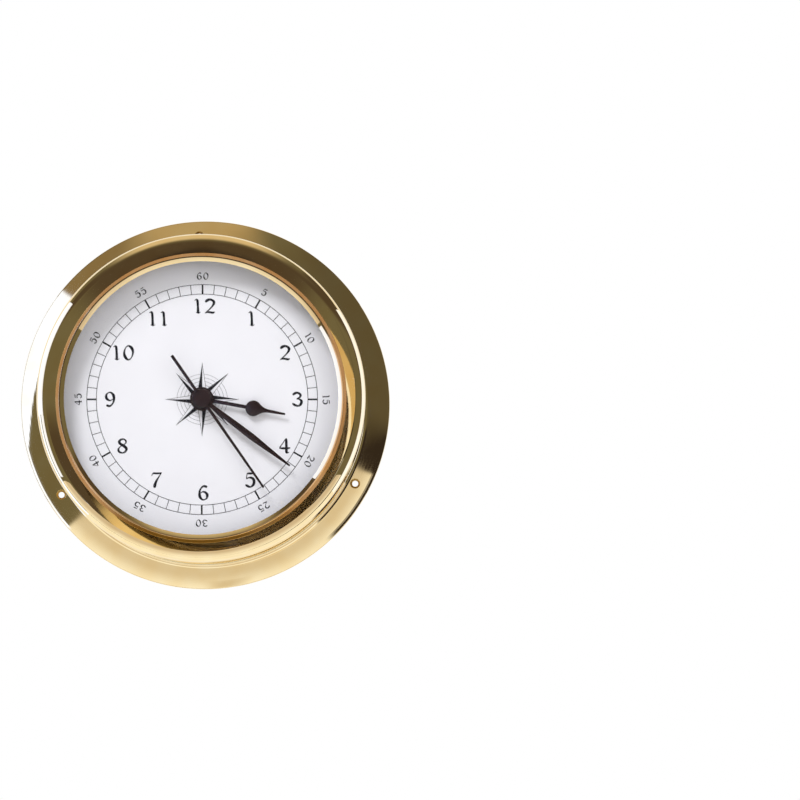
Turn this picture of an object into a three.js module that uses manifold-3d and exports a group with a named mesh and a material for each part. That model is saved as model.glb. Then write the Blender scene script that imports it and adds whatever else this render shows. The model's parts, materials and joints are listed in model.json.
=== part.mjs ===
// A flanged brass ship's clock with a screwed bezel and a quartz movement.
// Millimetres, +Z up to 12 o'clock. The clock faces -Y and its flange lies on the wall plane y = 0.
// Depths are measured from the wall towards the viewer, so a depth d lies at y = -d.
// Plan views are drawn as seen from the front: x to the right, y up.
import * as THREE from 'three';
import { mergeVertices } from 'three/addons/utils/BufferGeometryUtils.js';
import Module from 'manifold-3d';

const wasm = await Module();
wasm.setup();

// Spun brass case: the barrel's radius carries the flange, the ledge, the bezel and the glass
const barrelRadius = 62.2;
const barrelWall = 1.4;
const flangeWidth = 10.3;
const flangeThickness = 2;
const flangeEdgeRadius = 1.6;
const flangeFillet = 2.2;
const mouthRound = 1.5;
const ledgeWidth = 4.5;
const ledgeThickness = 1.4;
const fixingHoles = 3;
const fixingStandOff = 4.4;
const fixingHoleRadius = 1.2;
const fixingSinkRadius = 2.1;
const fixingTurn = THREE.MathUtils.degToRad(2.2);

// Dial and glazing, stacked forward from the ledge
const dialDepth = 28.6;
const dialThickness = 0.8;
const gasketThickness = 0.6;
const glassThickness = 2;
const glassPlay = 1.8;

// Screwed bezel
const lipOverlap = 6;
const lipWidth = 2.3;
const lipDrop = 1.3;
const lipEdge = 0.35;
const seatWall = 0.8;
const skirtWall = 1.15;
const shoulderWidth = 3.9;
const crestRoll = 1.2;
const shoulderHeight = 4.6;
const skirtLength = 5.8;
const barrelRimDrop = 0.2;

// Hands, pointing at 3:21:24
const hourAngle = THREE.MathUtils.degToRad(100.4);
const minuteAngle = THREE.MathUtils.degToRad(127.3);
const secondAngle = THREE.MathUtils.degToRad(145.1);
const handThickness = 0.5;
const handGap = 0.9;
const hourHandLength = 32.7;
const hourBulbRadius = 3.1;
const hourBulbCentre = 20.2;
const hourBulbLeave = THREE.MathUtils.degToRad(36);
const hourNeckWidth = 1.2;
const hourRootWidth = 1.8;
const minuteHandLength = 42.8;
const minuteHandWidth = 2.5;
const minuteWidest = 24;
const minuteRootWidth = 1.4;
const handTipWidth = 0.7;
const secondHandLength = 42;
const secondHandWidth = 0.85;
const secondTailLength = 20.2;
const secondTailWidth = 1.2;
const hubRadius = 4.5;
const capRadius = 3.7;
const capHeight = 0.8;
const capRound = 0.45;
const handRoom = 0.9;

// Centre bush, its nut and washers
const bushWall = 1;
const bushFlangeWidth = 1.6;
const bushFlangeThickness = 0.5;
const bushProud = 0.3;
const nutWall = 0.9;
const nutThickness = 1.2;
const nutSlot = 1;
const washerThickness = 0.3;
const cushionThickness = 1;
const cushionWidth = 5;

// Movement housing and its cell
const shellWall = 1.2;
const shellCorner = 3;
const pocketCorner = 0.6;
const coverThickness = 1.2;
const cellRadius = 7.25;
const cellLength = 49.2;
const cellNubRadius = 2.75;
const cellNubLength = 1.3;
const cellRim = 0.8;
const cellRoom = 1.55;
const contactThickness = 0.4;
const contactWidth = 7;
const contactHeight = 9;
const contactTail = 2;
const contactReach = 1.2;

// Going train: tooth counts, modules and the directions in which the arbors are set out
const rotorTeeth = 6;
const intermediateTeeth = 36;
const intermediateLeaves = 6;
const secondsTeeth = 30;
const secondsLeaves = 6;
const thirdTeeth = 45;
const thirdLeaves = 6;
const centreTeeth = 48;
const cannonTeeth = 8;
const minuteWheelTeeth = 24;
const minuteWheelLeaves = 8;
const hourTeeth = 32;
const settingTeeth = 8;
const rotorModule = 0.42;
const secondsModule = 0.5;
const centreModule = 0.4;
const motionModule = 0.6;
const intermediateDirection = THREE.MathUtils.degToRad(150);
const rotorDirection = THREE.MathUtils.degToRad(135);
const thirdDirection = THREE.MathUtils.degToRad(65);
const minuteWheelDirection = 0;
const settingDirection = THREE.MathUtils.degToRad(10);
const wheelThickness = 0.8;
const leafLength = 1.2;
const arborRadius = 0.45;
const wheelHubRadius = 1.3;
const tubeWall = 0.6;
const bossWall = 0.8;
const bossLength = 1.3;
const wheelRoom = 0.54;
const layerGap = 0.7;
const middlePlateThickness = 0.6;
const pillarRadius = 1.6;
const pillarInset = 3.4;

// Stepping motor, circuit board and setting knob
const magnetRadius = 2.6;
const statorThickness = 1;
const statorHalfWidth = 9;
const statorLimb = 3;
const statorFoot = 4;
const statorTop = 11.4;
const coreWidth = 2.4;
const coilRadius = 2.9;
const coilFlange = 0.6;
const boardLength = 12;
const boardWidth = 8;
const boardThickness = 0.8;
const boardGap = 1.55;
const chipRadius = 1.6;
const chipHeight = 0.8;
const chipInset = 2.9;
const crystalRadius = 1;
const crystalLength = 6;
const crystalInset = 1.4;
const settingRadius = 1.2;
const knobRadius = 6;
const knobLength = 3.6;
const knobFlutes = 14;

// Clearances
const turningGap = 0.3;
const pressGap = 0.1;
const threadGap = 0.35;

// How far a cutting tool runs past the face that it cuts
const overrun = 1;

// Facets of a full turn
const caseSegments = 48;
const partSegments = 20;
const tubeSegments = 12;
const arborSegments = 10;
const pillarSegments = 8;

// A tooth's outline in shares of module and pitch: wheels have the longer, broader teeth
const wheelTooth = { addendum: 0.9, dedendum: 1.2, root: 0.5, tip: 0.14 };
const leafTooth = { addendum: 0.85, dedendum: 1.25, root: 0.46, tip: 0.14 };
const knobFlute = { addendum: 0, dedendum: 0.8, root: 0.7, tip: 0.45 };

// Radii that follow from the barrel
const barrelInside = barrelRadius - barrelWall;
const flangeRadius = barrelRadius + flangeWidth;
const fixingCircleRadius = barrelRadius + fixingStandOff;
const glassRadius = barrelInside - glassPlay;
const openingRadius = glassRadius - lipOverlap;
const lipRadius = openingRadius + lipWidth;
const skirtRadius = barrelRadius + threadGap;
const bezelRadius = skirtRadius + skirtWall;
const crestRadius = bezelRadius - shoulderWidth;

// Hand tubes, one inside the other from the second hand's arbor outwards
const cannonBore = arborRadius + turningGap;
const cannonTube = cannonBore + tubeWall;
const hourBore = cannonTube + turningGap;
const hourTube = hourBore + tubeWall;
const bushBore = hourTube + turningGap;
const bushRadius = bushBore + bushWall;

// Depths that follow from the stack
const dialBack = dialDepth - dialThickness;
const bushEnd = dialDepth + washerThickness + nutThickness + bushProud;
const hourHandBack = bushEnd + turningGap;
const minuteHandBack = hourHandBack + handThickness + handGap;
const secondHandBack = minuteHandBack + handThickness + handGap;
const capFront = secondHandBack + capHeight;
const glassBack = capFront + handRoom;
const glassFront = glassBack + glassThickness;
const spacerFront = glassBack - gasketThickness;
const barrelDepth = glassBack - barrelRimDrop;
const skirtBack = barrelDepth + turningGap - skirtLength;

// The bezel's 45 degree cone rises from the wall over the glass to the crest and ends in its roll
const coneAngle = Math.PI / 4;
const coneFoot = glassFront + seatWall;
const coneTop = coneFoot + crestRadius - crestRoll * Math.sin(coneAngle) - lipRadius;
const bezelDepth = coneTop + crestRoll * (1 - Math.cos(coneAngle));
const shoulderDepth = bezelDepth - shoulderHeight;

// Layers of the train, from the dial side to the back
const movementFront = dialBack - cushionThickness;
const trainFront = movementFront - shellWall;
const leafOverhang = (leafLength - wheelThickness) / 2;
const hourWheelFront = trainFront - bushFlangeThickness - turningGap;
const motionFront = hourWheelFront - wheelThickness - layerGap;
const centreFront = motionFront - wheelThickness - layerGap - leafOverhang * 2;
const thirdFront = centreFront - wheelThickness - layerGap - leafOverhang;
const middleFront = thirdFront - wheelThickness - layerGap + leafOverhang;
const middleBack = middleFront - middlePlateThickness;
const statorBack = middleBack - statorThickness;
const secondsFront = statorBack - turningGap;
const intermediateFront = secondsFront - wheelThickness - layerGap - leafOverhang;
const bearingFront = intermediateFront - wheelThickness - layerGap;
const trainBack = bearingFront - bossLength;
const movementBack = trainBack - coverThickness;

// Arbor positions: each centre distance is half the module times the teeth that mesh
const axisAt = (from, direction, distance) =>
  new THREE.Vector2(distance * Math.cos(direction), distance * Math.sin(direction)).add(from);
const meshDistance = (module, teethA, teethB) => (module * (teethA + teethB)) / 2;
const centre = new THREE.Vector2(0, 0);
const motionDistance = meshDistance(motionModule, cannonTeeth, minuteWheelTeeth);
const hourModule = (2 * motionDistance) / (hourTeeth + minuteWheelLeaves);
const thirdDistance = meshDistance(centreModule, centreTeeth, thirdLeaves);
const thirdModule = (2 * thirdDistance) / (thirdTeeth + secondsLeaves);
const intermediateDistance = meshDistance(secondsModule, secondsTeeth, intermediateLeaves);
const rotorDistance = meshDistance(rotorModule, intermediateTeeth, rotorTeeth);
const settingDistance = meshDistance(motionModule, minuteWheelTeeth, settingTeeth);
const minuteWheelAxis = axisAt(centre, minuteWheelDirection, motionDistance);
const settingAxis = axisAt(minuteWheelAxis, settingDirection, settingDistance);
const thirdAxis = axisAt(centre, thirdDirection, thirdDistance);
const intermediateAxis = axisAt(centre, intermediateDirection, intermediateDistance);
const rotorAxis = axisAt(intermediateAxis, rotorDirection, rotorDistance);

// Housing plan: the cell lies across the foot under the centre wheel, and the train fills the rest
const centreWheelTip = centreModule * (centreTeeth / 2 + wheelTooth.addendum);
const trainFloor = -centreWheelTip - wheelRoom;
const bayTop = trainFloor - shellWall;
const cellHeight = bayTop - turningGap - cellRadius;
const bayFloor = cellHeight - cellRadius - turningGap;
const housingFoot = bayFloor - shellWall;
const trainSide = (cellLength + cellNubLength) / 2 + cellRoom;
const halfSize = trainSide + shellWall;
const cellDepth = trainFront - turningGap - cellRadius;
const pillars = [
  new THREE.Vector2(-halfSize + pillarInset, trainFloor + pillarInset),
  new THREE.Vector2(halfSize - pillarInset, trainFloor + pillarInset),
  new THREE.Vector2(halfSize - pillarInset, halfSize - pillarInset),
  new THREE.Vector2(rotorAxis.x + statorHalfWidth + pillarInset, halfSize - pillarInset),
];

// Merges shared corners, drops collapsed faces and turns the faces outwards
function closed(geometry) {
  const bare = geometry.clone();
  bare.deleteAttribute('normal');
  bare.deleteAttribute('uv');
  const merged = mergeVertices(bare);
  const position = merged.attributes.position;
  const [a, b, c] = [new THREE.Vector3(), new THREE.Vector3(), new THREE.Vector3()];
  const faces = [];
  let volume = 0;
  for (let i = 0; i < merged.index.count; i += 3) {
    const [p, q, r] = [0, 1, 2].map((k) => merged.index.getX(i + k));
    if (p === q || q === r || r === p) continue;
    faces.push([p, q, r]);
    a.fromBufferAttribute(position, p);
    b.fromBufferAttribute(position, q);
    c.fromBufferAttribute(position, r);
    volume += a.dot(b.cross(c));
  }
  merged.setIndex(faces.flatMap(([p, q, r]) => (volume < 0 ? [p, r, q] : [p, q, r])));
  return merged;
}

const solidOf = (geometry) => {
  const { attributes, index } = closed(geometry);
  const vertProperties = Float32Array.from(attributes.position.array);
  const triVerts = Uint32Array.from(index.array);
  return new wasm.Manifold(new wasm.Mesh({ numProp: 3, vertProperties, triVerts }));
};

function geometryOf(solid) {
  const mesh = solid.getMesh();
  const geometry = new THREE.BufferGeometry();
  geometry.setAttribute('position', new THREE.BufferAttribute(mesh.vertProperties, 3));
  geometry.setIndex(new THREE.BufferAttribute(mesh.triVerts, 1));
  return geometry;
}

const join = (...geometries) =>
  geometryOf(geometries.map(solidOf).reduce((whole, next) => whole.add(next)));
const cut = (base, ...tools) =>
  geometryOf(tools.map(solidOf).reduce((whole, tool) => whole.subtract(tool), solidOf(base)));

// A plan outline given thickness between two depths
function plate(shape, back, front, curveSegments = 8) {
  const depth = front - back;
  const geometry = new THREE.ExtrudeGeometry(shape, { depth, bevelEnabled: false, curveSegments });
  return geometry.rotateX(Math.PI / 2).translate(0, -back, 0);
}

const point = (x, y) => new THREE.Vector2(x, y);

// Points along part of an ellipse, both ends included
const arc = (x, y, radiusX, radiusY, from, to, steps) =>
  Array.from({ length: steps + 1 }, (_, k) => {
    const angle = from + ((to - from) * k) / steps;
    return point(x + radiusX * Math.cos(angle), y + radiusY * Math.sin(angle));
  });

// A profile of radius against y, turned about the hand axis
const turned = (profile, segments) => new THREE.LatheGeometry(profile, segments);

// A round bar, or a tube where it has a bore, along the hand axis direction
function rod(radius, back, front, segments = tubeSegments, bore = 0) {
  const profile = [point(bore, -back), point(radius, -back), point(radius, -front), point(bore, -front)];
  if (bore > 0) profile.push(point(bore, -back));
  return turned(profile, segments);
}

const at = (geometry, axis) => geometry.translate(axis.x, 0, axis.y);

function box(low, high) {
  const size = [0, 1, 2].map((k) => high[k] - low[k]);
  return new THREE.BoxGeometry(...size).translate(...[0, 1, 2].map((k) => low[k] + size[k] / 2));
}

function roundHole(axis, radius, segments = arborSegments) {
  const rim = arc(axis.x, axis.y, radius, radius, 0, -2 * Math.PI, segments);
  return new THREE.Path(rim.slice(1));
}

function rectangle(left, bottom, right, top, corner) {
  const shape = new THREE.Shape();
  shape.moveTo(right, bottom + corner);
  shape.lineTo(right, top - corner);
  shape.absarc(right - corner, top - corner, corner, 0, Math.PI / 2);
  shape.absarc(left + corner, top - corner, corner, Math.PI / 2, Math.PI);
  shape.absarc(left + corner, bottom + corner, corner, Math.PI, 1.5 * Math.PI);
  shape.absarc(right - corner, bottom + corner, corner, 1.5 * Math.PI, 2 * Math.PI);
  return shape;
}

// A wheel's outline with one tooth centred on the phase angle
function toothed(teeth, module, phase, tooth) {
  const pitch = (2 * Math.PI) / teeth;
  const root = (module * teeth) / 2 - tooth.dedendum * module;
  const tip = (module * teeth) / 2 + tooth.addendum * module;
  const corners = [
    [root, -tooth.root],
    [tip, -tooth.tip],
    [tip, tooth.tip],
    [root, tooth.root],
  ];
  const outline = [];
  for (let k = 0; k < teeth; k += 1) {
    const middle = phase + k * pitch;
    corners.forEach(([radius, share]) => outline.push(axisAt(centre, middle + (share * pitch) / 2, radius)));
  }
  return new THREE.Shape(outline);
}

function toothedPlate(teeth, module, phase, tooth, front, thickness) {
  return plate(toothed(teeth, module, phase, tooth), front - thickness, front);
}

const wheel = (teeth, module, phase, front) =>
  toothedPlate(teeth, module, phase, wheelTooth, front, wheelThickness);
const leaves = (teeth, module, phase, front) =>
  toothedPlate(teeth, module, phase, leafTooth, front + leafOverhang, leafLength);

// The phase that puts a tooth space of wheel B on a tooth of wheel A, B lying in the direction given
const meshPhase = (teethA, phaseA, teethB, direction) =>
  direction + Math.PI - (teethA * (phaseA - direction) + Math.PI) / teethB;

const towards = (from, to) => Math.atan2(to.y - from.y, to.x - from.x);

const clock = new THREE.Group();
const glazing = new THREE.Group();
const movement = new THREE.Group();
clock.add(glazing, movement);

function piece(parent, name, geometry, color, roughness, metalness) {
  const material = new THREE.MeshStandardMaterial({ color, roughness, metalness });
  const mesh = new THREE.Mesh(closed(geometry), material);
  mesh.name = name;
  parent.add(mesh);
  return mesh;
}

const brass = [0xd8b25e, 0.12, 1];
const paleBrass = [0xc9a75a, 0.35, 1];
const blackPlastic = [0x17181a, 0.5, 0];
const whitePlastic = [0xe4e2d8, 0.4, 0];
const handEnamel = [0x241613, 0.3, 0];
const steel = [0xa7a9ab, 0.3, 1];
const rubber = [0x1b1b1b, 0.8, 0];

// Case: flange, barrel and the inner ledge that carries the dial, one spinning
function caseBody() {
  const edge = Math.min(flangeEdgeRadius, flangeThickness);
  const fillet = flangeFillet;
  const ledgeRadius = barrelInside - ledgeWidth;
  const profile = [
    ...arc(barrelInside + mouthRound, -mouthRound, mouthRound, mouthRound, Math.PI, Math.PI / 2, 2),
    point(flangeRadius, 0),
    ...arc(flangeRadius - edge, edge - flangeThickness, edge, edge, 0, -Math.PI / 2, 4),
    ...arc(barrelRadius + fillet, -flangeThickness - fillet, fillet, fillet, Math.PI / 2, Math.PI, 3),
    point(barrelRadius, -barrelDepth),
    point(barrelInside, -barrelDepth),
    point(barrelInside, -dialBack),
    point(ledgeRadius, -dialBack),
    point(ledgeRadius, ledgeThickness - dialBack),
    point(barrelInside, ledgeThickness - dialBack),
    point(barrelInside, -mouthRound),
  ];
  const hole = [
    point(0, overrun),
    point(fixingHoleRadius, overrun),
    point(fixingHoleRadius, fixingSinkRadius - fixingHoleRadius - flangeThickness),
    point(fixingSinkRadius, -flangeThickness),
    point(fixingSinkRadius, -flangeThickness - overrun),
    point(0, -flangeThickness - overrun),
  ];
  const holes = Array.from({ length: fixingHoles }, (_, k) => {
    const angle = Math.PI / 2 + fixingTurn + (k * 2 * Math.PI) / fixingHoles;
    return at(turned(hole, arborSegments), axisAt(centre, angle, fixingCircleRadius));
  });
  return cut(turned(profile, caseSegments), ...holes);
}
piece(clock, 'case_body', caseBody(), ...brass);

// Bezel: threaded skirt, rounded shoulder, crest, 45 degree inner cone and the bevelled lip over the glass
function bezel() {
  const lipTop = glassFront + lipEdge + lipDrop;
  const rollEnd = -Math.PI / 2 - coneAngle;
  const cavityRadius = glassRadius + turningGap;
  const profile = [
    point(skirtRadius, -skirtBack),
    point(bezelRadius, -skirtBack),
    ...arc(crestRadius, -shoulderDepth, bezelRadius - crestRadius, shoulderHeight, 0, -Math.PI / 2, 5),
    ...arc(crestRadius, crestRoll - bezelDepth, crestRoll, crestRoll, -Math.PI / 2, rollEnd, 2),
    point(lipRadius, -coneFoot),
    point(lipRadius, -lipTop),
    point(openingRadius, -glassFront - lipEdge),
    point(openingRadius, -glassFront),
    point(cavityRadius, -glassFront),
    point(cavityRadius, -barrelDepth - turningGap),
    point(skirtRadius, -barrelDepth - turningGap),
    point(skirtRadius, -skirtBack),
  ];
  return turned(profile, caseSegments);
}
piece(glazing, 'bezel', bezel(), ...brass);
piece(glazing, 'glass', rod(glassRadius, glassBack, glassFront, caseSegments), 0xf4f8f7, 0.02, 0);
const gasket = rod(glassRadius, spacerFront, glassBack, caseSegments, lipRadius);
piece(glazing, 'glass_gasket', gasket, ...rubber);
const spacerRadius = barrelInside - turningGap;
const spacer = rod(spacerRadius, dialDepth, spacerFront, caseSegments, lipRadius);
piece(clock, 'spacer_ring', spacer, ...paleBrass);
const dial = rod(spacerRadius, dialBack, dialDepth, caseSegments, bushRadius + turningGap);
piece(clock, 'dial_plate', dial, 0xf2f2f6, 0.45, 0);

// Centre bush through the dial, with the round nut, washer and rubber cushion that clamp the dial
function dialNut() {
  const bore = bushRadius + pressGap;
  const back = dialDepth + washerThickness;
  const front = back + nutThickness;
  const rim = bore + nutWall;
  const slot = box(
    [-nutSlot / 2, -front - overrun, bore + pressGap],
    [nutSlot / 2, nutThickness / 2 - front, rim + overrun],
  );
  const slots = [slot, slot.clone().rotateY(Math.PI)];
  return cut(rod(rim, back, front, partSegments, bore), ...slots);
}
const bushInside = trainFront - bushFlangeThickness;
const bush = join(
  rod(bushRadius + bushFlangeWidth, bushInside, trainFront, partSegments, bushBore),
  rod(bushRadius, bushInside, bushEnd, partSegments, bushBore),
);
piece(movement, 'centre_bush', bush, ...paleBrass);
const washerBore = bushRadius + turningGap;
const washer = rod(hubRadius, dialDepth, dialDepth + washerThickness, partSegments, washerBore);
piece(movement, 'dial_washer', washer, ...paleBrass);
piece(movement, 'dial_nut', dialNut(), ...paleBrass);
const cushion = rod(washerBore + cushionWidth, movementFront, dialBack, partSegments, washerBore);
piece(movement, 'dial_cushion', cushion, ...rubber);

// Hands, drawn pointing at 12 and turned to the time
function hourHand() {
  const shape = new THREE.Shape();
  const neck = hourBulbCentre - Math.sqrt(hourBulbRadius ** 2 - (hourNeckWidth / 2) ** 2);
  const start = Math.atan2(neck - hourBulbCentre, hourNeckWidth / 2);
  const leave = hourBulbLeave;
  const leaveX = hourBulbRadius * Math.cos(leave);
  const leaveY = hourBulbCentre + hourBulbRadius * Math.sin(leave);
  const pull = (hourHandLength - leaveY) / 3;
  const easeX = leaveX - pull * Math.sin(leave);
  const easeY = leaveY + pull * Math.cos(leave);
  shape.moveTo(hourRootWidth / 2, 0);
  shape.lineTo(hourNeckWidth / 2, neck);
  shape.absarc(0, hourBulbCentre, hourBulbRadius, start, leave);
  shape.bezierCurveTo(easeX, easeY, handTipWidth, hourHandLength - pull, handTipWidth / 2, hourHandLength);
  shape.lineTo(-handTipWidth / 2, hourHandLength);
  shape.bezierCurveTo(-handTipWidth, hourHandLength - pull, -easeX, easeY, -leaveX, leaveY);
  shape.absarc(0, hourBulbCentre, hourBulbRadius, Math.PI - leave, Math.PI - start);
  shape.lineTo(-hourRootWidth / 2, 0);
  return shape;
}

function minuteHand() {
  const shape = new THREE.Shape();
  const half = minuteHandWidth / 2;
  shape.moveTo(minuteRootWidth / 2, 0);
  shape.quadraticCurveTo(half, minuteWidest / 2, half, minuteWidest);
  shape.lineTo(handTipWidth / 2, minuteHandLength);
  shape.lineTo(-handTipWidth / 2, minuteHandLength);
  shape.lineTo(-half, minuteWidest);
  shape.quadraticCurveTo(-half, minuteWidest / 2, -minuteRootWidth / 2, 0);
  return shape;
}

function secondHand() {
  const shape = new THREE.Shape();
  shape.moveTo(secondTailWidth / 2, -secondTailLength);
  shape.lineTo(secondTailWidth / 2, 0);
  shape.lineTo(secondHandWidth / 2, 0);
  shape.lineTo(secondHandWidth / 2, secondHandLength);
  shape.lineTo(-secondHandWidth / 2, secondHandLength);
  shape.lineTo(-secondHandWidth / 2, 0);
  shape.lineTo(-secondTailWidth / 2, 0);
  shape.lineTo(-secondTailWidth / 2, -secondTailLength);
  return shape;
}

// The second hand's cap hides the arbor's end
function secondCap() {
  const profile = [
    point(0, -secondHandBack),
    point(capRadius, -secondHandBack),
    ...arc(capRadius - capRound, capRound - capFront, capRound, capRound, 0, -Math.PI / 2, 2),
    point(0, -capFront),
  ];
  return turned(profile, partSegments);
}

function hand(name, angle, blade, back, hub, bore) {
  const front = back + handThickness;
  const body = join(plate(blade, back, front, 6), hub);
  const turnedHand = new THREE.Group();
  turnedHand.rotation.y = angle;
  clock.add(turnedHand);
  piece(turnedHand, name, cut(body, bore), ...handEnamel);
}
const hourHub = rod(hubRadius, hourHandBack, hourHandBack + handThickness, partSegments);
const minuteHub = rod(hubRadius, minuteHandBack, minuteHandBack + handThickness, partSegments);
const arborEnd = secondHandBack + handThickness - pressGap;
const hourEye = rod(hourTube + pressGap, hourHandBack - overrun, hourHandBack + overrun);
const minuteEye = rod(cannonTube + pressGap, minuteHandBack - overrun, minuteHandBack + overrun);
const secondEye = rod(arborRadius + pressGap, secondHandBack - overrun, arborEnd + pressGap, arborSegments);
hand('hour_hand', hourAngle, hourHand(), hourHandBack, hourHub, hourEye);
hand('minute_hand', minuteAngle, minuteHand(), minuteHandBack, minuteHub, minuteEye);
hand('second_hand', secondAngle, secondHand(), secondHandBack, secondCap(), secondEye);

// Movement housing: a tray with the train in the upper room and the cell bay, open behind, at its foot
const bossRadius = arborRadius + turningGap + bossWall;
const settingBoss = settingRadius + turningGap + bossWall;

function movementShell() {
  const outline = rectangle(-halfSize, housingFoot, halfSize, halfSize, shellCorner);
  const walls = rectangle(-halfSize, housingFoot, halfSize, halfSize, shellCorner);
  walls.holes.push(rectangle(-trainSide, trainFloor, trainSide, trainSide, pocketCorner));
  walls.holes.push(rectangle(-trainSide, bayFloor, trainSide, bayTop, pocketCorner));
  const bay = rectangle(-halfSize, housingFoot, halfSize, bayTop + shellWall / 2, shellCorner);
  bay.holes.push(rectangle(-trainSide, bayFloor, trainSide, bayTop, pocketCorner));
  const bosses = [
    at(rod(bossRadius, centreFront + layerGap, movementFront - pressGap, arborSegments), thirdAxis),
    at(rod(settingBoss, motionFront + layerGap, movementFront - pressGap, arborSegments), settingAxis),
    at(rod(arborRadius, centreFront + layerGap, movementFront - pressGap, arborSegments), minuteWheelAxis),
  ];
  const posts = pillars.map((axis) =>
    at(rod(pillarRadius, middleFront, movementFront - pressGap, pillarSegments), axis));
  const body = join(
    plate(outline, trainFront, movementFront, 2),
    plate(walls, trainBack, movementFront - pressGap, 2),
    plate(bay, movementBack, movementFront - pressGap, 2),
    ...bosses,
    ...posts,
  );
  const boreEnd = trainFront - pressGap;
  const slotHalf = contactTail / 2 + turningGap;
  const slots = [contactColumn, busColumn].map((x) => box(
    [x - slotHalf, -trainFront, bayTop - overrun],
    [x + slotHalf, turningGap - stripBack, trainFloor + overrun],
  ));
  return cut(
    body,
    rod(bushRadius + pressGap, trainFront - overrun, movementFront + overrun, partSegments),
    at(rod(arborRadius + turningGap, trainBack, boreEnd, arborSegments), thirdAxis),
    at(rod(settingRadius + turningGap, trainBack, boreEnd, arborSegments), settingAxis),
    ...slots,
  );
}

// The two strips reach the circuit board through slots in the wall over the cell
const boardRight = pillars[1].x - pillarRadius - boardGap;
const boardLeft = boardRight - boardLength;
const boardFoot = trainFloor + turningGap;
const stripFront = trainFront - turningGap;
const stripBack = stripFront - contactThickness;
const contactColumn = boardRight - contactTail;
const busColumn = boardLeft + contactTail;
piece(movement, 'movement_shell', movementShell(), ...blackPlastic);

function movementCover() {
  const outline = rectangle(
    -halfSize, bayTop + shellWall / 2 + turningGap, halfSize, halfSize, shellCorner,
  );
  outline.holes.push(roundHole(settingAxis, settingRadius + turningGap));
  const bosses = [centre, intermediateAxis, rotorAxis].map((axis) =>
    at(rod(bossRadius, trainBack - pressGap, bearingFront, arborSegments), axis));
  const posts = pillars.map((axis) =>
    at(rod(pillarRadius, trainBack - pressGap, middleBack, pillarSegments), axis));
  const bores = [centre, intermediateAxis, rotorAxis].map((axis) =>
    at(rod(arborRadius + turningGap, trainBack, bearingFront + overrun, arborSegments), axis));
  return cut(join(plate(outline, movementBack, trainBack, 2), ...bosses, ...posts), ...bores);
}
piece(movement, 'movement_cover', movementCover(), ...blackPlastic);

// Plate between the two halves of the train, clamped between the pillars
const coilSide = coilRadius + coilFlange;
const coreHeight = rotorAxis.y + statorTop - coreWidth / 2;
const coilLength = 2 * (statorHalfWidth - statorLimb - turningGap);
function middlePlate() {
  const gap = turningGap;
  const shape = rectangle(
    gap - trainSide, trainFloor + gap, trainSide - gap, trainSide - gap, pocketCorner,
  );
  const openings = [
    [centre, arborRadius],
    [thirdAxis, arborRadius],
    [intermediateAxis, arborRadius],
    [rotorAxis, arborRadius],
    [settingAxis, settingRadius],
  ];
  shape.holes.push(...openings.map(([axis, radius]) => roundHole(axis, radius + gap)));
  shape.holes.push(rectangle(
    rotorAxis.x - coilLength / 2 - gap, coreHeight - coilSide - gap,
    rotorAxis.x + coilLength / 2 + gap, coreHeight + coilSide + gap, gap,
  ));
  const slotHalf = contactTail / 2 + gap;
  const reach = [contactColumn, busColumn].map((x) =>
    rectangle(x - slotHalf, trainFloor + gap * 2, x + slotHalf, boardFoot + contactReach, gap / 2));
  shape.holes.push(...reach);
  return plate(shape, middleBack, middleFront, 1);
}
piece(movement, 'middle_plate', middlePlate(), ...whitePlastic);

// Going train. Phases carry the mesh from the seconds wheel outwards, so every pair is in mesh at rest
const secondsPhase = 0;
const secondsLeafPhase = 0;
const intermediatePhase = meshPhase(secondsTeeth, secondsPhase, intermediateLeaves, intermediateDirection);
const rotorPhase = meshPhase(intermediateTeeth, 0, rotorTeeth, rotorDirection);
const thirdPhase = meshPhase(secondsLeaves, secondsLeafPhase, thirdTeeth, thirdDirection);
const centrePhase = meshPhase(thirdLeaves, 0, centreTeeth, towards(thirdAxis, centre));
const minuteWheelPhase = meshPhase(cannonTeeth, 0, minuteWheelTeeth, minuteWheelDirection);
const hourPhase = meshPhase(minuteWheelLeaves, 0, hourTeeth, towards(minuteWheelAxis, centre));
const settingPhase = meshPhase(minuteWheelTeeth, minuteWheelPhase, settingTeeth, settingDirection);
const arborBack = trainBack + turningGap;

function place(name, axis, geometry, finish) {
  const mesh = piece(movement, name, geometry, ...finish);
  mesh.position.set(axis.x, 0, axis.y);
  return mesh;
}

place('seconds_wheel', centre, join(
  rod(arborRadius, arborBack, arborEnd, arborSegments),
  leaves(secondsLeaves, thirdModule, secondsLeafPhase, thirdFront),
  wheel(secondsTeeth, secondsModule, secondsPhase, secondsFront),
), whitePlastic);

place('third_wheel', thirdAxis, join(
  rod(arborRadius, middleBack + pressGap, trainFront - turningGap, arborSegments),
  leaves(thirdLeaves, centreModule, 0, centreFront),
  wheel(thirdTeeth, thirdModule, thirdPhase, thirdFront),
), whitePlastic);

place('intermediate_wheel', intermediateAxis, join(
  rod(arborRadius, arborBack, middleFront - pressGap, arborSegments),
  leaves(intermediateLeaves, secondsModule, intermediatePhase, secondsFront),
  wheel(intermediateTeeth, rotorModule, 0, intermediateFront),
), whitePlastic);

place('rotor', rotorAxis, join(
  rod(arborRadius, arborBack, middleFront - pressGap, arborSegments),
  leaves(rotorTeeth, rotorModule, rotorPhase, intermediateFront),
  rod(magnetRadius, intermediateFront + leafOverhang + turningGap, middleBack - turningGap),
), steel);

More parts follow.
